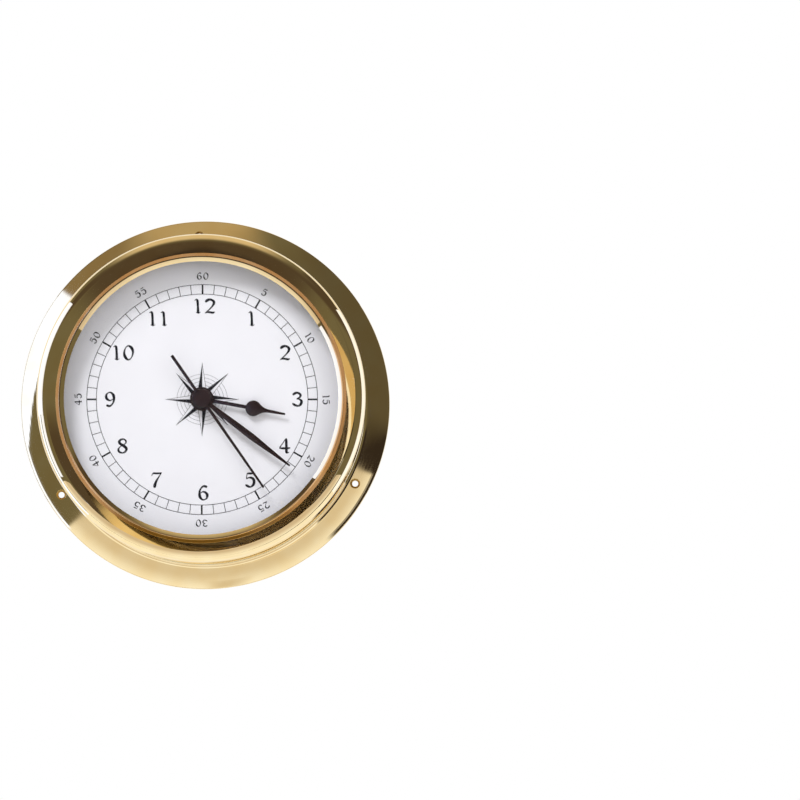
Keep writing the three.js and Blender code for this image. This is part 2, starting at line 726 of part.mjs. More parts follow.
// The centre wheel grips the cannon tube by friction against its shoulder
const cannonShoulder = cannonTube + tubeWall;
const cannonBack = centreFront - wheelThickness - turningGap;
const cannon = cut(
  join(
    rod(cannonTube, cannonBack, minuteHandBack + handThickness),
    rod(cannonShoulder, centreFront, motionFront + leafOverhang - leafLength),
    leaves(cannonTeeth, motionModule, 0, motionFront),
  ),
  rod(cannonBore, cannonBack - overrun, minuteHandBack + handThickness + overrun),
);
place('cannon_pinion', centre, cannon, paleBrass);
place('centre_wheel', centre, cut(
  wheel(centreTeeth, centreModule, centrePhase, centreFront),
  rod(cannonTube + pressGap, centreFront - wheelThickness - overrun, centreFront + overrun),
), whitePlastic);

// Motion work: the minute wheel turns on a stud, and the hour wheel on the cannon tube
place('minute_wheel', minuteWheelAxis, cut(
  join(
    leaves(minuteWheelLeaves, hourModule, 0, hourWheelFront),
    rod(wheelHubRadius, motionFront - wheelThickness, hourWheelFront),
    wheel(minuteWheelTeeth, motionModule, minuteWheelPhase, motionFront),
  ),
  rod(arborRadius + turningGap, trainBack, movementFront, arborSegments),
), whitePlastic);
place('hour_wheel', centre, cut(
  join(
    wheel(hourTeeth, hourModule, hourPhase, hourWheelFront),
    rod(hourTube, hourWheelFront - wheelThickness, hourHandBack + handThickness),
  ),
  rod(hourBore, trainBack, hourHandBack + handThickness + overrun),
), whitePlastic);

// Setting knob: its arbor runs through the cover to the pinion that turns the minute wheel
function settingKnob() {
  const back = movementBack - turningGap - knobLength;
  const fluteModule = (2 * knobRadius) / knobFlutes;
  return join(
    toothedPlate(knobFlutes, fluteModule, 0, knobFlute, movementBack - turningGap, knobLength),
    rod(settingRadius, back + turningGap, trainFront - turningGap, arborSegments),
    leaves(settingTeeth, motionModule, settingPhase, motionFront),
  );
}
place('setting_knob', settingAxis, settingKnob(), blackPlastic);

// Stepping motor: a closed stator frame round the rotor, with the coil on its upper limb
function stator() {
  const left = rotorAxis.x - statorHalfWidth;
  const right = rotorAxis.x + statorHalfWidth;
  const shape = rectangle(left, rotorAxis.y - statorFoot, right, rotorAxis.y + statorTop, turningGap);
  const windowTop = rotorAxis.y + statorTop - coreWidth;
  const opening = rectangle(
    left + statorLimb, rotorAxis.y + statorFoot, right - statorLimb, windowTop, turningGap,
  );
  shape.holes.push(opening);
  shape.holes.push(roundHole(rotorAxis, magnetRadius + turningGap * 2, tubeSegments));
  return plate(shape, statorBack, middleBack, 1);
}
piece(movement, 'stator', stator(), ...steel);

function motorCoil() {
  const along = (radius, from, to, segments) =>
    new THREE.CylinderGeometry(radius, radius, to - from, segments)
      .rotateZ(Math.PI / 2)
      .translate(rotorAxis.x + (from + to) / 2, statorThickness / 2 - middleBack, coreHeight);
  const half = coilLength / 2;
  const bobbin = join(
    along(coilRadius, -half, half, partSegments),
    along(coilSide, -half, coilFlange - half, partSegments),
    along(coilSide, half - coilFlange, half, partSegments),
  );
  const coreHalf = coreWidth / 2 + turningGap;
  const core = box(
    [rotorAxis.x - half - overrun, -middleBack - turningGap, coreHeight - coreHalf],
    [rotorAxis.x + half + overrun, statorThickness - middleBack + turningGap, coreHeight + coreHalf],
  );
  return cut(bobbin, core);
}
piece(movement, 'motor_coil', motorCoil(), 0xa5562f, 0.4, 1);

// Circuit board on the middle plate, with its potted chip, and the quartz crystal's can
function circuitBoard() {
  const board = box(
    [boardLeft, -middleBack, boardFoot],
    [boardRight, boardThickness - middleBack, boardFoot + boardWidth],
  );
  const chip = new THREE.SphereGeometry(chipRadius, arborSegments, 6)
    .scale(1, chipHeight / chipRadius, 1)
    .translate(boardLeft + boardLength / 2, boardThickness - middleBack, boardFoot + chipInset);
  const notches = [contactColumn, busColumn].map((x) => box(
    [x - contactTail / 2 - turningGap, -middleBack - overrun, boardFoot - overrun],
    [x + contactTail / 2 + turningGap, overrun - middleBack, boardFoot + contactReach],
  ));
  return cut(join(board, chip), ...notches);
}
piece(movement, 'circuit_board', circuitBoard(), 0x2f6b3c, 0.5, 0);
const crystal = new THREE.CylinderGeometry(crystalRadius, crystalRadius, crystalLength, arborSegments)
  .rotateZ(Math.PI / 2)
  .translate(
    boardLeft + boardLength / 2,
    boardThickness + crystalRadius + pressGap - middleBack,
    boardFoot + boardWidth - crystalInset,
  );
piece(movement, 'quartz_crystal', crystal, ...steel);

// Dry cell across the foot, between a flat contact and a sprung one
const cellStart = -trainSide + (2 * trainSide - cellLength - cellNubLength) / 2;
function dryCell() {
  const profile = [
    point(0, 0),
    point(cellRadius - cellRim, 0),
    point(cellRadius, cellRim),
    point(cellRadius, cellLength - cellRim),
    point(cellRadius - cellRim, cellLength),
    point(cellNubRadius, cellLength),
    point(cellNubRadius, cellLength + cellNubLength),
    point(0, cellLength + cellNubLength),
  ];
  return turned(profile, partSegments).rotateZ(-Math.PI / 2).translate(cellStart, -cellDepth, cellHeight);
}
piece(movement, 'dry_cell', dryCell(), 0x8a8d90, 0.35, 0.6);

const contactFoot = cellHeight - contactHeight / 2;
const contactTop = cellHeight + contactHeight / 2;
const stripTop = bayTop - turningGap;
const tailTop = boardFoot + contactReach - turningGap;

// A strip on the bay's front wall, turned up through its slot and then back to the board
function busStrip(from, to, column) {
  const low = Math.min(from, to);
  const high = Math.max(from, to);
  const left = column - contactTail / 2;
  const right = column + contactTail / 2;
  return [
    box([low, -stripFront, stripTop - contactTail], [high, -stripBack, stripTop]),
    box([left, -stripFront, stripTop - contactTail], [right, -stripBack, tailTop]),
    box([left, -stripFront, tailTop - contactThickness], [right, boardThickness - middleBack, tailTop]),
  ];
}

function endPlate(wallSide, inwards) {
  const inner = wallSide + inwards * contactThickness;
  return box(
    [Math.min(wallSide, inner), -stripFront, contactFoot],
    [Math.max(wallSide, inner), contactWidth - stripFront, stripTop],
  );
}

function positiveContact() {
  const wallSide = trainSide - turningGap;
  return join(endPlate(wallSide, -1), ...busStrip(contactColumn - contactTail / 2, wallSide, contactColumn));
}

function negativeContact() {
  const wallSide = turningGap - trainSide;
  const tip = cellStart - turningGap;
  const leaf = new THREE.Shape();
  leaf.moveTo(wallSide, contactTop);
  leaf.quadraticCurveTo(2 * tip - wallSide, cellHeight, wallSide, contactFoot);
  const spring = plate(leaf, stripFront - contactWidth, stripBack);
  return join(endPlate(wallSide, 1), spring, ...busStrip(wallSide, busColumn + contactTail / 2, busColumn));
}
piece(movement, 'positive_contact', positiveContact(), ...steel);
piece(movement, 'negative_contact', negativeContact(), ...steel);

export default clock;
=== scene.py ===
# A flanged brass ship's clock with a screwed bezel: fine surfaces, dial print, finishes, light and camera.
# Metres, +Z up to 12 o'clock. The dial faces -Y and the flange lies on the wall plane y = 0.
# Sizes in the dictionaries are millimetres. A depth d is measured forward from the wall and lies at y = -d.
import json
import math

import bmesh
import bpy
from mathutils import Matrix, Vector
from mathutils.geometry import delaunay_2d_cdt

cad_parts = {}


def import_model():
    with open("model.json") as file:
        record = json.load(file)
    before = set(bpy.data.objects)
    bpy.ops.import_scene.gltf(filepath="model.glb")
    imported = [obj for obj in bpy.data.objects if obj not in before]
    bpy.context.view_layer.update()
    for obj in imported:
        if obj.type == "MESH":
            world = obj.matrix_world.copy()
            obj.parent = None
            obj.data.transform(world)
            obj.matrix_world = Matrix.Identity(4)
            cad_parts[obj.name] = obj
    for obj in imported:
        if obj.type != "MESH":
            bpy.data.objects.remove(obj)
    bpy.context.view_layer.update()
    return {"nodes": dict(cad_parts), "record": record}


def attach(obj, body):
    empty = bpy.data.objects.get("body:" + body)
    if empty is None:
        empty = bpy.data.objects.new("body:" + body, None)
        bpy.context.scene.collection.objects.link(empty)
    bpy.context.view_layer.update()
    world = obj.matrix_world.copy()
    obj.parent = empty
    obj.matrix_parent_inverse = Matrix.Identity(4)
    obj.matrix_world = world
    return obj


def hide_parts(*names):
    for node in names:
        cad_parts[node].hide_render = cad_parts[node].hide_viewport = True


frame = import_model()
mm = 0.001
scene = bpy.context.scene
bodyOf = {node: body for body, members in frame["record"]["behaviour"]["bodies"].items() for node in members}
print("frame loaded:", len(frame["nodes"]), "solids")

viewpoint = {
    "place": (0.0765, -1.640, -0.1250),  # a little to the right of the clock and below it
    "pitch": 4.427,  # degrees, looking up at the middle of the picture
    "lens": 188.1,
    "sensor": 36.0,
}
camera = bpy.data.objects.new("camera", bpy.data.cameras.new("camera"))
camera.location = viewpoint["place"]
camera.rotation_euler = (math.radians(90 + viewpoint["pitch"]), 0, 0)
camera.data.lens = viewpoint["lens"]
camera.data.sensor_width = viewpoint["sensor"]
camera.data.clip_end = 20
scene.collection.objects.link(camera)
scene.camera = camera
scene.view_settings.view_transform = "Standard"
print("camera set")


def linear(code):
    channels = [int(code[k:k + 2], 16) / 255 for k in (0, 2, 4)]
    return [c / 12.92 if c <= 0.04045 else ((c + 0.055) / 1.055) ** 2.4 for c in channels] + [1.0]


# Adds a node, sets its inputs or properties, and links its inputs to other nodes or to their sockets
def addNode(tree, kind, settings=None, links=None):
    node = tree.nodes.new(kind)
    for name, value in (settings or {}).items():
        if name == "stops":
            ramp = node.color_ramp
            while len(ramp.elements) < len(value):
                ramp.elements.new(1.0)
            for element, (place, code) in zip(ramp.elements, value):
                element.position = place
                element.color = linear(code)
        elif isinstance(name, int) or name in node.inputs:
            node.inputs[name].default_value = value
        else:
            setattr(node, name, value)
    for name, source in (links or {}).items():
        socket = source if isinstance(source, bpy.types.NodeSocket) else source.outputs[0]
        tree.links.new(socket, node.inputs[name])
    return node


# A new finish: its shader, with the values that are the same all over, and the place its patterns follow
def newFinish(name, sockets):
    material = bpy.data.materials.new(name)
    material.use_nodes = True
    tree = material.node_tree
    shader = tree.nodes["Principled BSDF"]
    for socket, value in sockets.items():
        shader.inputs[socket].default_value = value
    place = addNode(tree, "ShaderNodeTexCoord").outputs["Object"]
    return material, tree, shader, place


# Joins a colour to the shader, gloss from one pattern and relief from another, laid over any broader relief
def joinSurface(tree, shader, look, colour, glossy, raised, broader=None):
    gloss = addNode(tree, "ShaderNodeMapRange", {3: look["rough"][0], 4: look["rough"][1]}, {0: glossy})
    heights = {"Height": raised, "Normal": broader} if broader else {"Height": raised}
    bump = addNode(tree, "ShaderNodeBump", {"Distance": look["relief"] * mm}, heights)
    for socket, source in (("Base Color", colour), ("Roughness", gloss), ("Normal", bump)):
        tree.links.new(source.outputs[0], shader.inputs[socket])


# A finish with fine colour mottle, uneven gloss and a shallow grain, each at its own real size
def grainyFinish(name, look, sockets):
    material, tree, shader, place = newFinish(name, sockets)
    mottle, grain = (
        addNode(tree, "ShaderNodeTexNoise", {"Scale": 1 / (look[size] * mm), "Detail": detail}, {0: place})
        for size, detail in (("mottle", 4.0), ("grain", 2.0))
    )
    shades = list(zip((0.3, 0.7), look["shades"]))
    colour = addNode(tree, "ShaderNodeValToRGB", {"stops": shades}, {0: mottle})
    joinSurface(tree, shader, look, colour, mottle, grain)
    return material


# Spun and turned metal: rings left by the tool follow the hand axis, and the polished sheet is faintly wavy,
# so reflections have soft bent edges and a fine circular brushing
def spunFinish(name, look):
    material, tree, shader, place = newFinish(name, {"Metallic": 1.0})
    right, forward, height = addNode(tree, "ShaderNodeSeparateXYZ", None, {0: place}).outputs
    flat = addNode(tree, "ShaderNodeCombineXYZ", None, {0: right, 1: height})
    radius = addNode(tree, "ShaderNodeVectorMath", {"operation": "LENGTH"}, {0: flat}).outputs["Value"]
    turn = addNode(tree, "ShaderNodeMath", {"operation": "ARCTAN2"}, {0: right, 1: height})
    arc = addNode(tree, "ShaderNodeMath", {"operation": "MULTIPLY", 1: look["ringLength"]}, {0: turn})
    ringPlace = addNode(tree, "ShaderNodeCombineXYZ", None, {0: radius, 1: arc, 2: forward})
    rings, wave, cloud = (
        addNode(tree, "ShaderNodeTexNoise", {"Scale": 1 / (look[size] * mm), "Detail": detail}, {0: source})
        for size, detail, source in (("ring", 3.0, ringPlace), ("wave", 1.0, place), ("cloud", 5.0, place))
    )
    shades = list(zip((0.35, 0.65), look["shades"]))
    colour = addNode(tree, "ShaderNodeValToRGB", {"stops": shades}, {0: cloud})
    sheet = addNode(tree, "ShaderNodeBump", {"Distance": look["waveRelief"] * mm}, {"Height": wave})
    joinSurface(tree, shader, look, colour, rings, rings, sheet)
    return material


# Polished spun brass gives near mirror reflections in a warm yellow, deeper where it reflects itself
polishedBrass = spunFinish("polishedSpunBrass", {
    "shades": ("f3d9a4", "f6e0b0"),
    "ring": 0.5,  # tool rings are finer than this, drawn wider so that they show
    "ringLength": 0.004,
    "relief": 0.00025,
    "wave": 22,
    "waveRelief": 0.016,
    "cloud": 9,
    "rough": (0.01, 0.04),
})
latheMarks = {"ring": 0.6, "ringLength": 0.006, "relief": 0.004, "wave": 30, "waveRelief": 0.02, "cloud": 6}
# Brass as the lathe or the drill left it: duller, with plain tool rings
turnedBrass = spunFinish("turnedBrass", {
    **latheMarks, "shades": ("cfae68", "dcbd7a"), "rough": (0.22, 0.42),
})
# Brass inside the case, darkened to a dull brown as painted shade for the shadowed inside of the case
shadeDarkenedBrass = spunFinish("shadeDarkenedBrass", {
    **latheMarks, "shades": ("4f4638", "5d5341"), "rough": (0.35, 0.55),
})
# White paint on a metal dial, satin, with a faint orange peel
satinWhitePaint = grainyFinish("satinWhitePaint", {
    "shades": ("efeff6", "f2f2f9"), "mottle": 14, "grain": 0.7, "relief": 0.002, "rough": (0.42, 0.52),
}, {"Specular IOR Level": 0.3})
# Mill finished aluminium on the back of the dial
millAluminium = spunFinish("millFinishAluminium", {
    "shades": ("b9babb", "c6c7c8"), "ring": 0.5, "ringLength": 0.004, "relief": 0.003,
    "wave": 40, "waveRelief": 0.02, "cloud": 5, "rough": (0.32, 0.48),
})
# Pad printing ink lies dense and matt, with slight starving in the wide strokes
padPrintInk = grainyFinish("padPrintInk", {
    "shades": ("1a191e", "242329"), "mottle": 0.9, "grain": 0.25, "relief": 0.004, "rough": (0.5, 0.65),
}, {"Specular IOR Level": 0.15})
greyPrintInk = grainyFinish("greyPrintInk", {
    "shades": ("76757d", "85848c"), "mottle": 0.9, "grain": 0.25, "relief": 0.003, "rough": (0.5, 0.65),
}, {"Specular IOR Level": 0.15})
# Stoved enamel on stamped hands: brown black, smooth and glossy with soft highlights
stovedEnamel = grainyFinish("stovedEnamel", {
    "shades": ("1d1213", "2a1a1a"), "mottle": 3, "grain": 0.5, "relief": 0.0015, "rough": (0.16, 0.26),
}, {"Specular IOR Level": 0.3})
# Moulded black ABS with a spark eroded texture
mouldedBlackAbs = grainyFinish("mouldedBlackAbs", {
    "shades": ("17181a", "1f2022"), "mottle": 8, "grain": 0.35, "relief": 0.05, "rough": (0.42, 0.58),
}, {})
# Natural acetal gears: milky and slightly waxy
naturalAcetal = grainyFinish("naturalAcetal", {
    "shades": ("dfddd2", "e8e6dc"), "mottle": 4, "grain": 0.3, "relief": 0.006, "rough": (0.35, 0.45),
}, {"Subsurface Weight": 0.1, "Subsurface Radius": (0.001, 0.001, 0.0008)})
# Nitrile rubber, dull with a dry grain
nitrileRubber = grainyFinish("nitrileRubber", {
    "shades": ("161616", "222222"), "mottle": 3, "grain": 0.2, "relief": 0.03, "rough": (0.72, 0.88),
}, {})
# Bright plated spring steel with rolling marks
platedSteel = grainyFinish("platedSpringSteel", {
    "shades": ("a9abad", "bfc1c3"), "mottle": 2.5, "grain": 0.15, "relief": 0.004, "rough": (0.2, 0.36),
}, {"Metallic": 1.0})


# Enamelled copper wire wound in close turns along the coil: fine ridges with a varnished shine
def wireFinish(look):
    material, tree, shader, place = newFinish("enamelledCopperWire", {"Metallic": 1.0, "Coat Weight": 0.3})
    bands = 2 * math.pi / (look["pitch"] * mm) / look["bandTurn"]
    wave = addNode(
        tree, "ShaderNodeTexWave", {"bands_direction": "X", "Scale": bands, "Distortion": 0.4}, {0: place},
    )
    shades = list(zip((0.1, 0.8), look["shades"]))
    colour = addNode(tree, "ShaderNodeValToRGB", {"stops": shades}, {0: wave})
    joinSurface(tree, shader, look, colour, wave, wave)
    return material


copperWire = wireFinish({
    "shades": ("7a3b1d", "b86a3c"),
    "pitch": 0.35,  # the wire is finer than this, drawn coarser so that it shows
    "bandTurn": 20,  # radians of the ridges' wave for each unit of its scale
    "relief": 0.1,
    "rough": (0.42, 0.26),
})


# Glass fibre board under green solder resist: darker tracks show through the resist
def boardFinish(look):
    varnish = {"Coat Weight": 0.3, "Coat Roughness": 0.2}
    material, tree, shader, place = newFinish("greenSolderResist", varnish)
    layout = {"Scale": 1 / (look["track"] * mm), "Mortar Size": look["trackLine"]}
    for socket, code in zip(("Color1", "Color2", "Mortar"), look["shades"]):
        layout[socket] = linear(code)
    tracks = addNode(tree, "ShaderNodeTexBrick", layout, {0: place})
    fibre = {"Scale": 1 / (look["weave"] * mm), "Detail": 3.0}
    weave = addNode(tree, "ShaderNodeTexNoise", fibre, {0: place})
    joinSurface(tree, shader, look, tracks, weave, weave)
    return material


solderResist = boardFinish({
    "shades": ("2c6a3a", "337244", "1d4f2a"), "track": 2.4, "trackLine": 0.06, "weave": 0.3, "relief": 0.01,
    "rough": (0.35, 0.5),
})


# A printed shrink sleeve round a dry cell: a plain colour with a metal coloured band at the positive end
def sleeveFinish(look):
    material, tree, shader, place = newFinish("printedShrinkSleeve", {"Metallic": 0.35, "Coat Weight": 0.6})
    along = addNode(tree, "ShaderNodeSeparateXYZ", None, {0: place}).outputs[0]
    share = addNode(tree, "ShaderNodeMapRange", {1: look["from"] * mm, 2: look["to"] * mm}, {0: along})
    colour = addNode(tree, "ShaderNodeValToRGB", {"stops": look["bands"]}, {0: share})
    colour.color_ramp.interpolation = "CONSTANT"
    wrinkles = {"Scale": 1 / (look["wrinkle"] * mm), "Detail": 2.0}
    film = addNode(tree, "ShaderNodeTexNoise", wrinkles, {0: place})
    joinSurface(tree, shader, look, colour, film, film)
    return material


shrinkSleeve = sleeveFinish({
    "from": -25.3, "to": 25.3,
    "bands": [(0.0, "8f9194"), (0.018, "26282b"), (0.7, "a8743a"), (0.955, "8f9194")],
    "wrinkle": 4, "relief": 0.03, "rough": (0.22, 0.34),
})


# Flat coated glass: clear and smooth, with only a trace of a plain pane's reflection.
# Lamp light and the dial's own light pass straight through it.
def glassFinish(look):
    material, tree, shader, place = newFinish("coatedFloatGlass", {
        "Base Color": linear(look["tint"]), "Roughness": 0.0, "IOR": 1.52, "Transmission Weight": 1.0,
    })
    draw = addNode(tree, "ShaderNodeTexNoise", {"Scale": 1 / (look["draw"] * mm), "Detail": 1.0}, {0: place})
    bump = addNode(tree, "ShaderNodeBump", {"Distance": look["relief"] * mm}, {"Height": draw})
    tree.links.new(bump.outputs[0], shader.inputs["Normal"])
    path = addNode(tree, "ShaderNodeLightPath")
    passing = addNode(
        tree, "ShaderNodeMath", {"operation": "MAXIMUM"},
        {0: path.outputs["Is Shadow Ray"], 1: path.outputs["Is Diffuse Ray"]},
    )
    coated = addNode(tree, "ShaderNodeMath", {"operation": "MAXIMUM", 1: look["coating"]}, {0: passing})
    clear = addNode(tree, "ShaderNodeBsdfTransparent")
    mix = addNode(tree, "ShaderNodeMixShader", None, {0: coated, 1: shader, 2: clear})
    tree.links.new(mix.outputs[0], tree.nodes["Material Output"].inputs["Surface"])
    return material


floatGlass = glassFinish({"tint": "f8fbfa", "coating": 0.94, "draw": 45, "relief": 0.004})
print("finishes made")

plainEdge = 32  # degrees; edges that turn more than this stay sharp


def shadeSmooth(mesh, sharp):
    mesh.polygons.foreach_set("use_smooth", [True] * len(mesh.polygons))
    mesh.set_sharp_from_angle(angle=math.radians(sharp))


# Puts a finished mesh in the scene
def makeObject(name, bm, material):
    bmesh.ops.recalc_face_normals(bm, faces=bm.faces)
    mesh = bpy.data.meshes.new(name)
    bm.to_mesh(mesh)
    bm.free()
    shadeSmooth(mesh, plainEdge)
    mesh.materials.append(material)
    piece = bpy.data.objects.new(name, mesh)
    scene.collection.objects.link(piece)
    return piece


# Swaps an object's modifiers for the mesh that they give
def settle(piece, sharp=plainEdge):
    graph = bpy.context.evaluated_depsgraph_get()
    graph.update()
    mesh = bpy.data.meshes.new_from_object(piece.evaluated_get(graph))
    piece.modifiers.clear()
    piece.data = mesh
    shadeSmooth(mesh, sharp)
    return piece


def mergeMeshes(first, *others):
    for other in others:
        mesh = bpy.data.meshes.new("part")
        other.to_mesh(mesh)
        other.free()
        first.from_mesh(mesh)
        bpy.data.meshes.remove(mesh)
    return first


# The piece stands for its CAD node and rides on that node's body
def standFor(piece, node):
    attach(piece, bodyOf[node])
    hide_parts(node)


def arcPoints(middle, radii, start, end, steps=8):
    angles = [math.radians(start + (end - start) * k / steps) for k in range(steps + 1)]
    return [(middle[0] + radii[0] * math.cos(a), middle[1] + radii[1] * math.sin(a)) for a in angles]


support = {"gap": 0.04, "shortest": 0.32}
weld = 1e-7  # metres


# Straight runs get a point close to each end, so that a round beside one doesn't bend its reflections
def supported(profile):
    points = []
    for here, there in zip(profile, profile[1:] + profile[:1]):
        points.append(here)
        length = math.dist(here, there)
        if length > support["shortest"]:
            for share in (support["gap"] / length, 1 - support["gap"] / length):
                points.append(tuple(a + (b - a) * share for a, b in zip(here, there)))
    return points


# Turns a closed profile of (radius, depth) about the hand axis
def lathe(outline, segments):
    profile = supported(outline)
    bm = bmesh.new()
    rings = []
    for k in range(segments):
        turn = 2 * math.pi * k / segments
        sine, cosine = math.sin(turn) * mm, math.cos(turn) * mm
        rings.append([bm.verts.new((r * sine, -d * mm, r * cosine)) for r, d in profile])
    count = len(profile)
    for k in range(segments):
        here, there = rings[k], rings[(k + 1) % segments]
        for j in range(count):
            following = (j + 1) % count
            bm.faces.new((here[j], here[following], there[following], there[j]))
    bmesh.ops.remove_doubles(bm, verts=bm.verts, dist=weld)
    return bm


# Spun case: flange with a rounded edge, fillet, barrel and the ledge under the dial
case = {
    "flange": 72.5, "thickness": 2.0, "crown": 150.0, "edge": 0.4, "backEdge": 0.3, "fillet": 2.2,
    "barrel": 62.2, "inside": 60.8, "mouth": 1.5, "rim": 35.0, "rimRound": 0.3,
    "ledge": 56.3, "ledgeFront": 27.8, "ledgeBack": 26.4, "segments": 288, "sharp": 13,
    "holes": 3, "firstHole": -2.2, "holeCircle": 66.6, "holeRadius": 1.2, "holeSegments": 48,
    "sinkRadius": 1.8, "sinkRound": 0.3, "sinkRim": 25, "through": 1.0,
}


# The drill for one screw hole, with a right-angled sink. The sink's edge is rounded up to a shallow slope,
# which then runs out through the face.
def drillTool(c, turn):
    deep, wide, ease, face, through = (
        c[size] for size in ("holeRadius", "sinkRadius", "sinkRound", "thickness", "through")
    )
    mouthEdge = arcPoints((wide + ease, face - ease), (ease, ease), 135, 90 + c["sinkRim"], steps=6)
    drop = mouthEdge[0][1] - (mouthEdge[0][0] - deep)
    slope = math.tan(math.radians(c["sinkRim"]))
    outside = (mouthEdge[-1][0] + through, mouthEdge[-1][1] + through * slope)
    shape = [(0, -through), (deep, -through), (deep, drop)] + mouthEdge
    shape += [outside, (outside[0], face + through), (0, face + through)]
    tool = lathe(shape, c["holeSegments"])
    centre = (c["holeCircle"] * math.sin(turn) * mm, 0, c["holeCircle"] * math.cos(turn) * mm)
    tool.transform(Matrix.Translation(centre))
    return tool


def spunCase(c):
    edge, fillet, mouth, rim, crown = c["edge"], c["fillet"], c["mouth"], c["rimRound"], c["crown"]
    flangeTop, back = c["thickness"], c["backEdge"]
    # The flange is faintly crowned from its fillet to its rounded edge
    edgeMiddle, crownStart = c["flange"] - edge, c["barrel"] + fillet
    crownTurn = math.asin((edgeMiddle - crownStart) / (crown - edge))
    edgeDepth = flangeTop - crown + (crown - edge) * math.cos(crownTurn)
    crownEnd = 90 - math.degrees(crownTurn)
    profile = arcPoints((c["inside"] + mouth, mouth), (mouth, mouth), 180, 270)
    profile += arcPoints((c["flange"] - back, back), (back, back), 270, 360)
    profile += arcPoints((edgeMiddle, edgeDepth), (edge, edge), 0, crownEnd)
    profile += arcPoints((crownStart, flangeTop - crown), (crown, crown), crownEnd, 90, steps=12)[1:]
    profile += arcPoints((crownStart, flangeTop + fillet), (fillet, fillet), 270, 180, steps=12)[1:]
    profile += arcPoints((c["barrel"] - rim, c["rim"] - rim), (rim, rim), 0, 90)
    profile += arcPoints((c["inside"] + rim, c["rim"] - rim), (rim, rim), 90, 180)
    profile += [(c["inside"], c["ledgeFront"]), (c["ledge"], c["ledgeFront"])]
    profile += [(c["ledge"], c["ledgeBack"]), (c["inside"], c["ledgeBack"])]
    piece = makeObject("spunCase", lathe(profile, c["segments"]), polishedBrass)
    turns = [math.radians(c["firstHole"] + 360 * k / c["holes"]) for k in range(c["holes"])]
    tools = mergeMeshes(bmesh.new(), *(drillTool(c, turn) for turn in turns))
    drills = makeObject("drills", tools, turnedBrass)  # the drill leaves a duller face
    drill = piece.modifiers.new("drilled", "BOOLEAN")
    drill.object = drills
    drill.operation = "DIFFERENCE"
    drill.solver = "EXACT"
    drill.material_mode = "TRANSFER"
    settle(piece, c["sharp"])
    bpy.data.objects.remove(drills)
    return piece


standFor(spunCase(case), "case_body")

# Screwed bezel: skirt, rounded shoulder up to a sharp ridge, 45 degree cone and bevelled lip over the glass
bezel = {
    "skirtInside": 62.55, "skirt": 63.35, "skirtTaper": 0.05, "skirtBack": 29.5, "edge": 0.35,
    "front": 42.0, "shoulder": 37.4, "shoulderMiddle": 57.6, "ridge": 59.4,
    "lipOutside": 54.75, "coneFoot": 37.35, "lipTop": 38.6, "lipEdge": 0.03, "lipFlat": 54.2,
    "lipFall": 0.007, "lipTurn": (33, 38), "opening": 52.75,
    "glassFront": 37.2, "cavity": 59.3, "cavityBack": 35.3, "segments": 320,
}


def turnedBezel(b):
    edge, lip = b["edge"], b["lipEdge"]
    # The shoulder is part of an ellipse that ends at the ridge, still sloping a little
    wide = b["skirt"] - b["skirtTaper"] - b["shoulderMiddle"]
    ridgeTurn = math.acos((b["ridge"] - b["shoulderMiddle"]) / wide)
    high = (b["front"] - b["shoulder"]) / math.sin(ridgeTurn)
    profile = [(b["skirtInside"], b["skirtBack"])]
    profile += arcPoints((b["skirt"] - edge, b["skirtBack"] + edge), (edge, edge), 270, 360, steps=5)
    ridgeEnd = math.degrees(ridgeTurn)
    profile += arcPoints((b["shoulderMiddle"], b["shoulder"]), (wide, high), 0, ridgeEnd, steps=28)
    profile += [(b["lipOutside"], b["coneFoot"])]
    profile += arcPoints((b["lipOutside"] - lip, b["lipTop"] - lip), (lip, lip), 0, 90, steps=4)
    # The lip's crest leans inward by a hair, then falls to the opening in a shallow arc between two slopes
    begin, end = (math.sin(math.radians(turn)) for turn in b["lipTurn"])
    bend = (b["lipFlat"] - b["opening"]) / (end - begin)
    middle = (b["lipFlat"] + bend * begin, b["lipTop"] - b["lipFall"] - bend * math.sqrt(1 - begin ** 2))
    profile += arcPoints(middle, (bend, bend), 90 + b["lipTurn"][0], 90 + b["lipTurn"][1])
    profile += [(b["opening"], b["glassFront"]), (b["cavity"], b["glassFront"])]
    profile += [(b["cavity"], b["cavityBack"]), (b["skirtInside"], b["cavityBack"])]
    return makeObject("turnedBezel", lathe(profile, b["segments"]), polishedBrass)


standFor(turnedBezel(bezel), "bezel")
print("case and bezel turned")

# Flat rings and discs of the glazing: inside and outside radius, back, front, and how far corners are eased
glazing = {
    "glass": ("flatGlass", (0, 59.0, 35.2, 37.2, 0.25), floatGlass, "clear_glass"),
    "glass_gasket": ("glassGasket", (55.3, 59.0, 34.6, 35.2, 0.15), nitrileRubber, "black_rubber"),
    # the spacer ring takes the brass darkened as painted shade
    "spacer_ring": ("spacerRing", (55.3, 60.5, 28.6, 34.6, 0.2), shadeDarkenedBrass, "plain_brass"),
}
dialDisc = {"hole": 3.85, "radius": 60.5, "back": 27.8, "front": 28.6, "ease": 0.1}
discSegments = 256


def ringProfile(inside, outside, back, front, ease):
    profile = [(inside, back)] if inside == 0 else [(inside, back + ease), (inside + ease, back)]
    profile += [(outside - ease, back), (outside, back + ease)]
    profile += [(outside, front - ease), (outside - ease, front)]
    profile += [(inside, front)] if inside == 0 else [(inside + ease, front), (inside, front - ease)]
    return profile


for node, (name, sizes, material, slot) in glazing.items():
    standFor(makeObject(name, lathe(ringProfile(*sizes), discSegments), material), node)


# The dial is painted, with bare metal behind
def paintedDial(d):
    profile = ringProfile(d["hole"], d["radius"], d["back"], d["front"], d["ease"])
    piece = makeObject("paintedDial", lathe(profile, discSegments), satinWhitePaint)
    piece.data.materials.append(millAluminium)
    for face in piece.data.polygons:
        face.material_index = 1 if face.normal.y > 0.5 else 0
    return piece


standFor(paintedDial(dialDisc), "dial_plate")
print("glazing and dial made")


